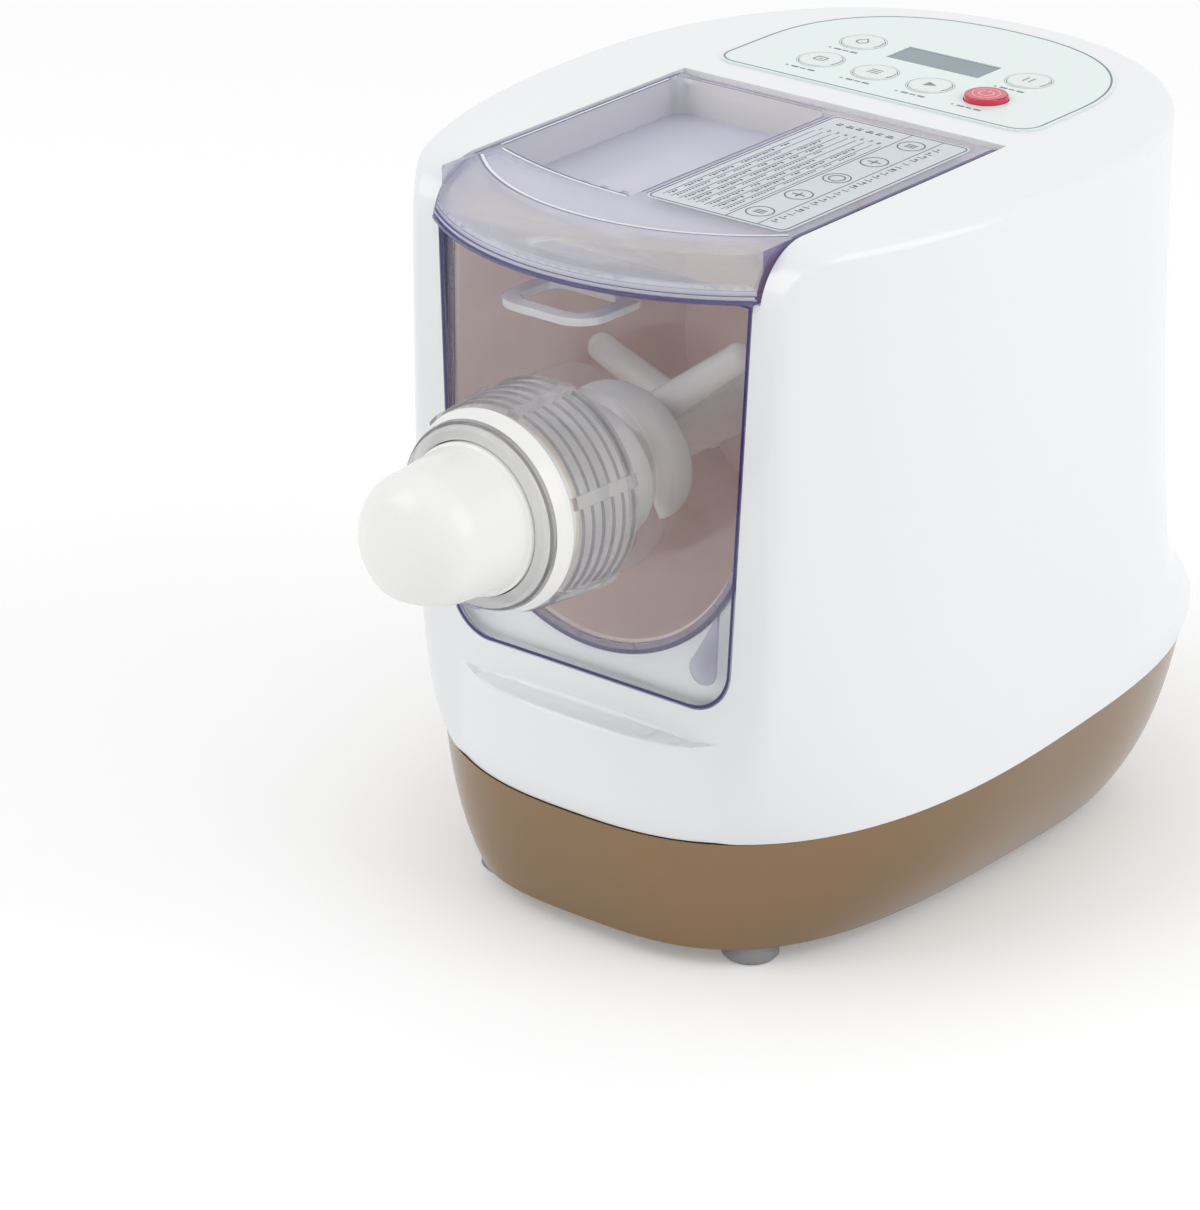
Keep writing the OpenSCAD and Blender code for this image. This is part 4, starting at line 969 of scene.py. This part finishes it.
SHEET_STEPS, SHEET_SQUARE = 60, 2.3
KEY_NAME_DASHES = (-7.5, -6.4), (-4.6, -1.2), (-0.4, 2.4), (3.4, 6.8)   # millimetres from a key's middle
KEY_NAME_BACK = 13.6 * MM       # how far in front of a key its dashes lie


def sheet_outline(grow):
    """Outline of the control sheet: square round-cornered front, oval rear."""
    c = controls()
    half, r = c.sheet_half + grow, c.sheet_corner + grow
    rear = [oval(math.pi * i / SHEET_STEPS, half, 1, c.sheet_deep + grow, SHEET_SQUARE)
            for i in range(SHEET_STEPS + 1)]
    return ([(x, y + c.sheet_mid) for x, y in rear]
            + arc(-half + r, c.sheet_front - grow + r, r, 180, 270, 8)
            + arc(half - r, c.sheet_front - grow + r, r, 270, 360, 8))


def key_mark(bm, kind, x, y, z):
    """A plain generic sign on a key, drawn in millimetres from the key's middle."""
    line = controls().line
    half = line / 2 / MM

    def bar(u0, u1, w0, w1):
        dash(bm, x + u0 * MM, x + u1 * MM, y + w0 * MM, y + w1 * MM, z)

    def patch(*points):
        prism(bm, [(x + u * MM, y + w * MM) for u, w in points], "Z", z, controls().ink)

    if kind == "broken ring":
        hoop(bm, x, y, 3 * MM, line, z, 120, 300)
        bar(-half, half, 1, 4)
    elif kind == "arrow":
        patch((-2, -2.6), (3, 0), (-2, 2.6))
    elif kind == "lines":
        for w in (-1.9, 0, 1.9):
            bar(-2.8, 2.8, w - half, w + half)
    elif kind == "square":
        sides = [round_rect(x - u * MM, x + u * MM, y - w * MM, y + w * MM, r * MM, 3)
                 for u, w, r in ((2.8, 2.4, 0.8), (2.1, 1.7, 0.4))]
        band(bm, *sides, z)
        bar(-1, 1, -half, half)
    elif kind == "drop":
        hoop(bm, x, y - 0.6 * MM, 2.4 * MM, line, z, 135, 270)
        patch((-1.9, 1), (-1.2, 1), (0, 3), (0, 4))
        patch((1.2, 1), (1.9, 1), (0, 4), (0, 3))
    else:
        for u in (-1.4, 1.4):
            bar(u - half, u + half, -2.6, 2.6)


def build_controls():
    c = controls()
    cad_copy("control_fascia", printed_sheet(), 0.1 * MM)
    cad_copy("display_window", display_cover(), 0.1 * MM)

    sheet = bmesh.new()
    band(sheet, sheet_outline(-1 * MM), sheet_outline(-1.8 * MM), c.sheet_top)
    for x, y in key_places().values():
        # ruled dashes in front of each key, where its name would stand
        middle = y - KEY_NAME_BACK
        for k, (start, end) in enumerate(KEY_NAME_DASHES):
            half = (0.55 + 0.2 * (k % 2)) * MM
            dash(sheet, x + start * MM, x + end * MM, middle - half, middle + half, c.sheet_top)
    print_marks("sheet_marks", sheet, grey_ink(), "machine")

    rings = bmesh.new()
    for name, (x, y) in key_places().items():
        if name != "power":
            hoop(rings, x, y, c.key_radius + 1 * MM, 0.35 * MM, c.sheet_top)
    print_marks("sheet_rings", rings, faint_ink(), "machine")

    for name, (x, y) in key_places().items():
        key = "button_" + name
        power = name == "power"
        cad_copy(key, red_plastic() if power else key_plastic(), 0.4 * MM)
        marks = bmesh.new()
        top = c.sheet_top + (c.power_rise if power else c.key_rise)
        key_mark(marks, KEY_SIGNS[name], x, y, top)
        if power:
            hoop(marks, x, y, 5.6 * MM, 0.5 * MM, top)
        print_marks(key + "_mark", marks, red_ink() if power else grey_ink(), body_of(key))


# ---- Clear parts and machinery ---------------------------------------------------------

HAIR = 0.3                      # a hair line of the chart; this and what follows in millimetres
TABLE_ROWS, ROW_PITCH, ROWS_AT = 8, 4, 4.5
WORD_PITCH, WORD = 1.9, 1.1     # the short strokes that stand for words
SIGNS_AT, SIGN_PITCH, SIGNS_WIDE = 38, 24, 15
BOXES, BOXES_AT = 22, 55


def build_chart():
    """A generic table on the lid's label: border, rules, strokes, round signs and plain numerals."""
    w = window()
    x0, x1, y0, y1 = w.chart_left, w.chart_right, w.chart_front, w.chart_back
    z = w.lid_top + 0.4 * MM
    deep = (y1 - y0) / MM
    bm = bmesh.new()

    def bar(u0, u1, w0, w1):
        """A dash in millimetres from the chart's left front corner."""
        dash(bm, x0 + u0 * MM, x0 + u1 * MM, y0 + w0 * MM, y0 + w1 * MM, z)

    border = [round_rect(x0 + gap * MM, x1 - gap * MM, y0 + gap * MM, y1 - gap * MM, (4 - gap) * MM)
              for gap in (1, 1.5)]
    band(bm, *border, z)
    for u in (SIGNS_AT, SIGNS_AT + SIGNS_WIDE):
        bar(u, u + 1.2 * HAIR, 1.5, deep - 1.5)
    # ruled table with short strokes for its entries
    for row in range(TABLE_ROWS + 1):
        u = ROWS_AT + row * ROW_PITCH
        bar(u, u + HAIR, 6, deep - 20)
    for row in range(TABLE_ROWS):
        u = ROWS_AT + row * ROW_PITCH
        start = 8
        for k in range(5):
            length = 7 + 5 * ((row * 3 + k * 5) % 4)
            if start + length > deep - 22:
                break
            for step in range(int(length / WORD_PITCH)):
                along = start + step * WORD_PITCH
                bar(u + 1.1, u + 1.8 + 0.3 * (step * (row + 2) % 3), along, along + WORD)
            start += length + 3
        digits(bm, str(row + 1), x0 + (u + 0.4) * MM, y1 - 18.5 * MM, 2.4 * MM, z)
    # title strokes at the rear
    for k in range(6):
        u = 7 + k * 4.8
        bar(u, u + 2.4 + k % 2, deep - 9.6, deep - 8.6)
        bar(u + 0.3, u + 2.6, deep - 7.8, deep - 7.2)
    # column of round signs
    u = SIGNS_AT + SIGNS_WIDE / 2 + 0.1
    for k in range(5):
        v = 13 + k * SIGN_PITCH
        for radius in (5.4, 3.2) if k == 2 else (5.4,):
            hoop(bm, x0 + u * MM, y0 + v * MM, radius * MM, 0.5 * MM, z)
        if k % 2:
            bar(u - 3, u + 3, v - 0.3, v + 0.3)
            bar(u - 0.3, u + 0.3, v - 2.4, v + 2.4)
        elif k != 2:
            for step in (-1.4, 0, 1.4):
                bar(u - 2.4, u + 2.4, v + step - 0.25, v + step + 0.25)
    # strip of small boxes along the right edge
    for k in range(BOXES):
        v = 7 + k * (deep - 14) / BOXES
        bar(BOXES_AT, BOXES_AT + 3.2, v, v + 0.5)
        bar(BOXES_AT + 0.4 + (k * 7 % 5) * 0.4, BOXES_AT + 1.4 + (k * 5 % 4) * 0.5, v + 1.6, v + 2.8)
    print_marks("chart_marks", bm, dark_ink(), body_of("lid_chart"))


EDGE_LINE = 0.5 * MM            # width of the dark lines along the lid
STOP_SHORT = 4 * MM             # how far a line ends before a corner


def build_edge_lines():
    """Dark lines where the clear mouldings end and their violet tint gathers, drawn dark as painted shade,
    with painted highlight lines beside some of them.
    """
    h, w = housing(), window()
    lines = bmesh.new()
    band(lines, panel_outline(-0.2 * MM, w.panel_top - 0.3 * MM),
         panel_outline(-1.5 * MM, w.panel_top - 1.2 * MM), h.face_y - 1.2 * controls().ink, "Y")
    new_piece("panel_edge_line", lines, violet_edge_shade(), body_of("front_panel"))
    lines = bmesh.new()
    seat, top = h.face_y + 3.04 * MM, w.panel_top - 2 * MM
    band(lines, trough_outline(w.trough + 5.4 * MM, top), trough_outline(w.trough + 3.6 * MM, top), seat, "Y")
    new_piece("seal_edge_line", lines, violet_edge_shade(), body_of("panel_seal"))
    lines = bmesh.new()
    z = w.lid_top
    x0, x1, y0, y1 = w.tray_left, w.tray_right, w.tray_front, w.tray_back
    for near in (0.3 * MM, 2.6 * MM):
        far = near + EDGE_LINE
        dash(lines, x0 + STOP_SHORT, x1 - STOP_SHORT, y1 + near, y1 + far, z)
        dash(lines, x1 + near, x1 + far, y0 + 10 * MM, y1 - STOP_SHORT, z)
    for side in (-1, 1):
        edge = side * (w.lid_half - 0.7 * MM)
        dash(lines, edge - EDGE_LINE, edge + EDGE_LINE, y0 + STOP_SHORT, w.lid_back - STOP_SHORT, z)
    # gloss holds the painted highlight strips
    gloss = bmesh.new()
    # Bowed front of the tray and the bend of the lid's top, each with its dark line and its painted highlight
    # line
    bow_y = w.tray_bow_front + w.tray_bow
    bow = math.degrees(math.asin(-(x0 + 3 * MM) / w.tray_bow))
    lip_y = h.face_y + math.sqrt(w.lip_radius ** 2 - w.lid_half ** 2)
    bend = w.lip_radius - w.lip_round
    turn = math.degrees(math.asin((w.lid_half - 2 * MM) / bend))
    left_front = bow_y - w.tray_bow * math.cos(math.radians(bow))
    dash(lines, x0 - 0.3 * MM, x0 + 0.3 * MM, left_front + 2 * MM, y1 - 5 * MM, z)
    dash(gloss, x0 - 1.4 * MM, x0 - 0.5 * MM, left_front + 2 * MM, y1 - 5 * MM, z)
    hoop(lines, 0, bow_y, w.tray_bow + 0.3 * MM, 0.6 * MM, z, 270 - bow, bow)
    hoop(gloss, 0, bow_y, w.tray_bow + 1.4 * MM, 1.1 * MM, z, 270 - bow, bow)
    hoop(lines, 0, lip_y, bend - 0.8 * MM, EDGE_LINE, z, 270 - turn, 2 * turn)
    hoop(gloss, 0, lip_y, bend - 2 * MM, 1.2 * MM, z, 270 - turn, 2 * turn)
    print_marks("lid_edge_lines", lines, violet_edge_shade(), body_of("lid"))
    print_marks("lid_painted_highlight_lines", gloss, painted_highlight(), body_of("lid"))


SIDES_FROM = 50 * MM            # beyond this the panel's faces belong to its sides
CATCHES_FROM, CATCHES_BELOW = 45 * MM, 165 * MM
LOOP_ABOVE, LOOP_HALF = 260 * MM, 25 * MM
LIP_TALL, LIP_STEP = 6 * MM, 1.3 * MM
TRAY_WALL, TRAY_DEEP = 2.2 * MM, 19 * MM
SKIN = 0.1 * MM                 # how far behind the face a piece of the front begins


def build_window():
    h, w = housing(), window()
    level = on_top().inverted()

    def edge_on(middle, normal):
        """Side walls of the panel slab."""
        return abs(normal.y) < 0.3 and middle.y > h.face_y - SKIN and abs(middle.x) > SIDES_FROM

    def catch(middle, normal):
        """Drop shaped catches at the panel's lower corners."""
        ahead = h.face_y - 1.5 * MM < middle.y < h.face_y - SKIN
        return ahead and abs(middle.x) > CATCHES_FROM and middle.z < CATCHES_BELOW

    def finger_loop(middle, normal):
        """Loop that stands out from the panel's top, which takes the painted highlight."""
        return middle.y < h.face_y - 0.5 * MM and middle.z > LOOP_ABOVE and abs(middle.x) < LOOP_HALF

    def lip(middle, normal):
        """Ribbed front of the lid."""
        flat = level @ middle
        return flat.y < h.face_y and flat.z < w.lip_z + LIP_TALL

    def lip_shade_bands(middle, normal):
        """The lowest step of the lip and the tops of all its steps, darkened violet as painted shade."""
        flat = level @ middle
        return lip(middle, normal) and (flat.z < w.lip_z + LIP_STEP or normal.z > 0.6)

    def tray(middle, normal):
        """Floor and walls of the water tray."""
        flat = level @ middle
        return (w.tray_left - TRAY_WALL < flat.x < w.tray_right + TRAY_WALL
                and w.tray_front - TRAY_WALL < flat.y < w.tray_back + TRAY_WALL
                and w.lid_top - TRAY_DEEP < flat.z < w.lid_top - 1 * MM)

    def rim(middle, normal):
        """Side walls of the lid."""
        flat = level @ middle
        return abs(flat.x) > w.lid_half - 0.2 * MM and abs(normal.x) > 0.8 and flat.y < w.lid_back

    cad_copy("front_panel", clear_plastic(), 0.5 * MM,
             ((clear_rim_tint_and_shade(), edge_on), (clear_catch(), catch), (clear_loop(), finger_loop)))
    cad_copy("panel_seal", violet_rubber(), 0.3 * MM)
    cad_copy("lid", clear_lid(), 0.3 * MM,
             ((clear_lip(), lip), (clear_tray(), tray), (clear_rim_tint_and_shade(), rim), (clear_rim_tint_and_shade(), lip_shade_bands)))
    cad_copy("lid_chart", frosted_film(), 0.1 * MM)
    build_chart()
    build_edge_lines()
    cad_copy("hinge_pins", plated_steel(), 0.1 * MM)
    cad_copy("lid_magnet", plated_steel(), 0.1 * MM)


DIE_FLANGE, FLANGE_THICK = 36.4 * MM, 3.6 * MM
DIE_NECK, DIE_SHOULDER, DIE_BORE = 30 * MM, 29 * MM, 29.5 * MM
DOME_DEEP, DOME_WIDE, DOME_SQUARE, DOME_STEPS = 21 * MM, 27.2 * MM, 2.5, 16
FLAT_AT = 0.7                   # how far below the axis the flat underside lies, as a share of the shoulder
HOLE_ROWS, HOLE_COLUMNS, HOLE = 8, 4, 1.4 * MM
HOLE_ALONG, HOLE_ACROSS, HOLE_DEEP = 4 * MM, 6 * MM, 22 * MM


def build_die():
    """The die: a cone with a domed nose, a flat underside and rows of holes, hollow from behind."""
    w = window()
    (_, nose, _), (_, back, _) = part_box("die_head")
    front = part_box("nozzle_nut")[0][1]
    step = back - FLANGE_THICK
    body = [(DIE_FLANGE, back), (DIE_FLANGE, step), (DIE_NECK, step), (DIE_NECK, front - 1.5 * MM),
            (DIE_SHOULDER, front - 2.5 * MM)]
    dome = [(DOME_WIDE * (1 - t ** DOME_SQUARE) ** (1 / DOME_SQUARE), nose + DOME_DEEP * (1 - t))
            for t in (math.sin(math.pi / 2 * i / DOME_STEPS) for i in range(DOME_STEPS + 1))]
    bore = [(0, nose + 7 * MM), (14 * MM, nose + 8 * MM), (22.5 * MM, front), (DIE_BORE, back - 2 * MM),
            (DIE_BORE, back)]
    bm = bmesh.new()
    ring = [bm.verts.new((r, y, w.axis_z)) for r, y in bore + body + dome]
    edges = [bm.edges.new(pair) for pair in zip(ring, ring[1:])]
    bmesh.ops.spin(bm, geom=ring + edges, cent=(0, 0, w.axis_z), axis=(0, 1, 0), angle=2 * math.pi, steps=96,
                   use_merge=True, use_duplicate=False)
    bmesh.ops.remove_doubles(bm, verts=bm.verts, dist=WELD)
    bmesh.ops.recalc_face_normals(bm, faces=bm.faces)
    die = piece("die_head_finished", bm, milk_white(), body_of("die_head"), ("die_head",))

    under = w.axis_z - FLAT_AT * DIE_SHOULDER
    flat, holes = bmesh.new(), bmesh.new()
    block(flat, (-DIE_FLANGE, nose - 5 * MM, under - DIE_NECK), (DIE_FLANGE, front - 6 * MM, under))
    for i in range(HOLE_ROWS):
        for k in range(HOLE_COLUMNS):
            x = (k - (HOLE_COLUMNS - 1) / 2) * HOLE_ACROSS
            drill(holes, HOLE, HOLE_DEEP, 16,
                  Matrix.Translation((x, front - 8.5 * MM - i * HOLE_ALONG, under + 5 * MM)))
    carve(die, [cutter(flat), cutter(holes)], CRISP)
    soften(die, 0.2 * MM, 40)

    # Low round mark on the tip, left by the mould's gate
    mark = bmesh.new()
    ring = bmesh.ops.create_circle(mark, cap_ends=True, segments=24, radius=1.6 * MM,
                                   matrix=Matrix.Translation((0, nose + 0.05 * MM, w.axis_z))
                                   @ Matrix.Rotation(math.pi / 2, 4, "X"))["verts"]
    push_out(mark, [ring[0].link_faces[0]], "Y", 0.4 * MM)
    new_piece("die_gate_mark", mark, key_plastic(), body_of("die_head"))


# Where the nut's forms begin, back from its front
RING_BACK, STEP_BACK, RIBS_BACK, COLLAR_FRONT, COLLAR_BACK = 2.3 * MM, 3.1 * MM, 11 * MM, 4.2 * MM, 11.2 * MM


def build_drive():
    nut_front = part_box("nozzle_nut")[0][1]

    def collar(middle, normal):
        """Smooth cone behind the nut's front ring, which shows the white die through it."""
        return nut_front + COLLAR_FRONT < middle.y < nut_front + COLLAR_BACK and normal.y < 0.5

    def flank(middle, normal):
        """Narrow flanks of the ribs and of the step behind the front ring, which take the painted shade."""
        rib = middle.y > nut_front + RIBS_BACK and abs(normal.y) > 0.5
        return rib or nut_front + RING_BACK < middle.y < nut_front + STEP_BACK

    def front_ring(middle, normal):
        """The nut's front ring, which takes the painted highlight."""
        return middle.y < nut_front + RING_BACK

    cad_copy("mixing_chamber", chamber_plastic(), 0.4 * MM)
    cad_copy("mixing_paddle", milk_white(), 1 * MM)
    cad_copy("auger_screw", milk_white(), 0)
    cad_copy("nozzle_nut", clear_nut_plastic(), 0.2 * MM,
             ((milk_white(), collar), (clear_shadow(), flank), (clear_ring(), front_ring)))
    build_die()
    cad_copy("die_gasket", gasket_silicone(), 0.2 * MM)


SMALL_ROUNDING = 0.15 * MM


def build_small_parts():
    looks = {
        soft_rubber: ("rubber_feet", "shaft_seal"),
        plated_steel: ("base_screws", "shaft_bearings", "chassis_plate", "drive_shaft", "countershaft_axle",
                       "motor_can", "gearbox_screws", "inlet_pins", "motor_cradle", "motor_rotor"),
        cast_metal: ("gearbox_cover", "gearbox_case"),
        black_nylon: ("tact_switches", "lcd_module", "lid_switch", "mains_inlet", "motor_end_cap",
                      "motor_fan"),
        circuit_laminate: ("control_board", "power_board"),
        gear_acetal: ("output_gear", "countershaft_gear", "motor_pinion"),
    }
    for look, names in looks.items():
        for name in names:
            cad_copy(name, look(), SMALL_ROUNDING)


# ---- Stage ---------------------------------------------------------------------------

IMAGE_H = 1210                  # height of the picture in pixels
FOCAL_PX = 5017.75              # focal length in pixels of that picture
AZIMUTH, ELEVATION, ROLL = 0.6788806, 0.4008597, 0.0108423
DISTANCE = 2.03782
TARGET = Vector((-0.05398, -0.02593, 0.10208))
FLOOR_HALF, FLOOR_DROP = 6, 0.2 * MM
FLOOR_LIFT = 0.2                # light that a directly seen floor adds to its own
ROOM_LIGHT, ROOM_SEEN = 0.74, 1.0   # the room as it lights things, and as it is seen
# Name, place, size in metres, watts
LAMPS = ("key", (-1.3, -1.7, 1.9), 1.6, 13), ("fill", (2.1, 0.5, 1.5), 1.8, 15)
LAMP_AIM = Vector((0, 0, 0.15))


def build_stage():
    scene = bpy.context.scene
    scene.view_settings.view_transform = "Standard"

    camera = bpy.data.cameras.new("camera")
    camera.sensor_width = 36
    camera.lens = FOCAL_PX * camera.sensor_width / IMAGE_H
    camera.clip_start = 0.1
    camera.clip_end = 50
    shot = bpy.data.objects.new("camera", camera)
    scene.collection.objects.link(shot)
    ahead = Vector((-math.sin(AZIMUTH) * math.cos(ELEVATION), math.cos(AZIMUTH) * math.cos(ELEVATION),
                    -math.sin(ELEVATION)))
    right = Vector((math.cos(AZIMUTH), math.sin(AZIMUTH), 0))
    up = right.cross(ahead)
    turned_right = right * math.cos(ROLL) + up * math.sin(ROLL)
    turned_up = up * math.cos(ROLL) - right * math.sin(ROLL)
    place = Matrix((turned_right, turned_up, -ahead)).transposed().to_4x4()
    place.translation = TARGET - ahead * DISTANCE
    shot.matrix_world = place
    scene.camera = shot

    bm = bmesh.new()
    bmesh.ops.create_grid(bm, x_segments=1, y_segments=1, size=FLOOR_HALF)
    floor = mesh_object("floor", bm)
    floor.location.z = -FLOOR_DROP
    floor.data.materials.append(floor_paint())

    world = bpy.data.worlds.new("soft_white_room")
    scene.world = world
    world.use_nodes = True
    tree = world.node_tree
    tree.nodes.clear()
    lit = node(tree, "ShaderNodeBackground", {"Color": (1, 1, 1, 1), "Strength": ROOM_LIGHT})
    seen = node(tree, "ShaderNodeBackground", {"Color": (1, 1, 1, 1), "Strength": ROOM_SEEN})
    blend = node(tree, "ShaderNodeMixShader", (),
                 [(0, seen_directly(tree)), (1, lit.outputs[0]), (2, seen.outputs[0])])
    node(tree, "ShaderNodeOutputWorld", (), [("Surface", blend.outputs[0])])

    for name, at, span, power in LAMPS:
        lamp = bpy.data.lights.new(name, "AREA")
        lamp.energy = power
        lamp.size = span
        holder = bpy.data.objects.new(name, lamp)
        holder.location = at
        aim = LAMP_AIM - Vector(at)
        holder.rotation_euler = aim.to_track_quat("-Z", "Y").to_euler()
        scene.collection.objects.link(holder)


def seen_directly(tree):
    """1 where a ray comes from the camera, a mirror or a clear part, so that all three see white."""
    path = node(tree, "ShaderNodeLightPath")
    either = node(tree, "ShaderNodeMath", {"operation": "MAXIMUM"},
                  [(0, path.outputs["Is Camera Ray"]), (1, path.outputs["Is Glossy Ray"])])
    return node(tree, "ShaderNodeMath", {"operation": "MAXIMUM"},
                [(0, either.outputs[0]), (1, path.outputs["Is Transmission Ray"])]).outputs[0]


def floor_paint():
    # Matt white paint; seen directly it is lifted so that only the soft shadow shows
    made = finish("matt_white_floor", "#F2F2F2", 0.8)
    tree = made.node_tree
    shader = tree.nodes["Principled BSDF"]
    lift = node(tree, "ShaderNodeMath", {"operation": "MULTIPLY", 1: FLOOR_LIFT}, [(0, seen_directly(tree))])
    shader.inputs["Emission Color"].default_value = (1, 1, 1, 1)
    tree.links.new(lift.outputs[0], shader.inputs["Emission Strength"])
    return made


# ---- Operators -------------------------------------------------------------------------

class PASTA_OT_housing(bpy.types.Operator):
    """Build the white housing and the frame that carries the panel"""
    bl_idname = "pasta.housing"
    bl_label = "Housing"
    bl_options = {"REGISTER", "UNDO"}

    def execute(self, context):
        build_housing()
        return {"FINISHED"}


class PASTA_OT_base(bpy.types.Operator):
    """Build the bronze base"""
    bl_idname = "pasta.base"
    bl_label = "Base"
    bl_options = {"REGISTER", "UNDO"}

    def execute(self, context):
        build_base()
        return {"FINISHED"}


class PASTA_OT_controls(bpy.types.Operator):
    """Build the control sheet, display and keys"""
    bl_idname = "pasta.controls"
    bl_label = "Controls"
    bl_options = {"REGISTER", "UNDO"}

    def execute(self, context):
        build_controls()
        return {"FINISHED"}


class PASTA_OT_window(bpy.types.Operator):
    """Build the lid with its chart, the panel and its seal"""
    bl_idname = "pasta.window"
    bl_label = "Lid and panel"
    bl_options = {"REGISTER", "UNDO"}

    def execute(self, context):
        build_window()
        return {"FINISHED"}


class PASTA_OT_drive(bpy.types.Operator):
    """Build the chamber, paddle, auger, nut and die"""
    bl_idname = "pasta.drive"
    bl_label = "Chamber and outlet"
    bl_options = {"REGISTER", "UNDO"}

    def execute(self, context):
        build_drive()
        return {"FINISHED"}


class PASTA_OT_small_parts(bpy.types.Operator):
    """Finish the feet, screws, motor, gears and boards"""
    bl_idname = "pasta.small_parts"
    bl_label = "Small parts"
    bl_options = {"REGISTER", "UNDO"}

    def execute(self, context):
        build_small_parts()
        return {"FINISHED"}


class PASTA_OT_stage(bpy.types.Operator):
    """Build the floor, lamps and camera"""
    bl_idname = "pasta.stage"
    bl_label = "Stage"
    bl_options = {"REGISTER", "UNDO"}

    def execute(self, context):
        build_stage()
        return {"FINISHED"}


STEPS = (PASTA_OT_housing, PASTA_OT_base, PASTA_OT_controls, PASTA_OT_window, PASTA_OT_drive,
         PASTA_OT_small_parts, PASTA_OT_stage)


class PASTA_PT_sidebar(bpy.types.Panel):
    """Lists the build steps in the sidebar"""
    bl_label = "Pasta maker"
    bl_idname = "PASTA_PT_sidebar"
    bl_space_type = "VIEW_3D"
    bl_region_type = "UI"
    bl_category = "Pasta maker"

    def draw(self, context):
        for step in STEPS:
            self.layout.operator(step.bl_idname)


GROUPS = {"pasta_housing": HousingSizes, "pasta_window": WindowSizes, "pasta_controls": ControlSizes,
          "pasta_finishes": Finishes}
CLASSES = (*GROUPS.values(), *STEPS, PASTA_PT_sidebar)


def register():
    for cls in CLASSES:
        bpy.utils.register_class(cls)
    for name, group in GROUPS.items():
        setattr(bpy.types.Scene, name, PointerProperty(type=group))


def unregister():
    for name in GROUPS:
        delattr(bpy.types.Scene, name)
    for cls in reversed(CLASSES):
        bpy.utils.unregister_class(cls)


def main():
    register()
    bpy.ops.pasta.housing()
    bpy.ops.pasta.base()
    bpy.ops.pasta.controls()
    bpy.ops.pasta.window()
    bpy.ops.pasta.drive()
    bpy.ops.pasta.small_parts()
    bpy.ops.pasta.stage()


if __name__ == "__main__":
    main()
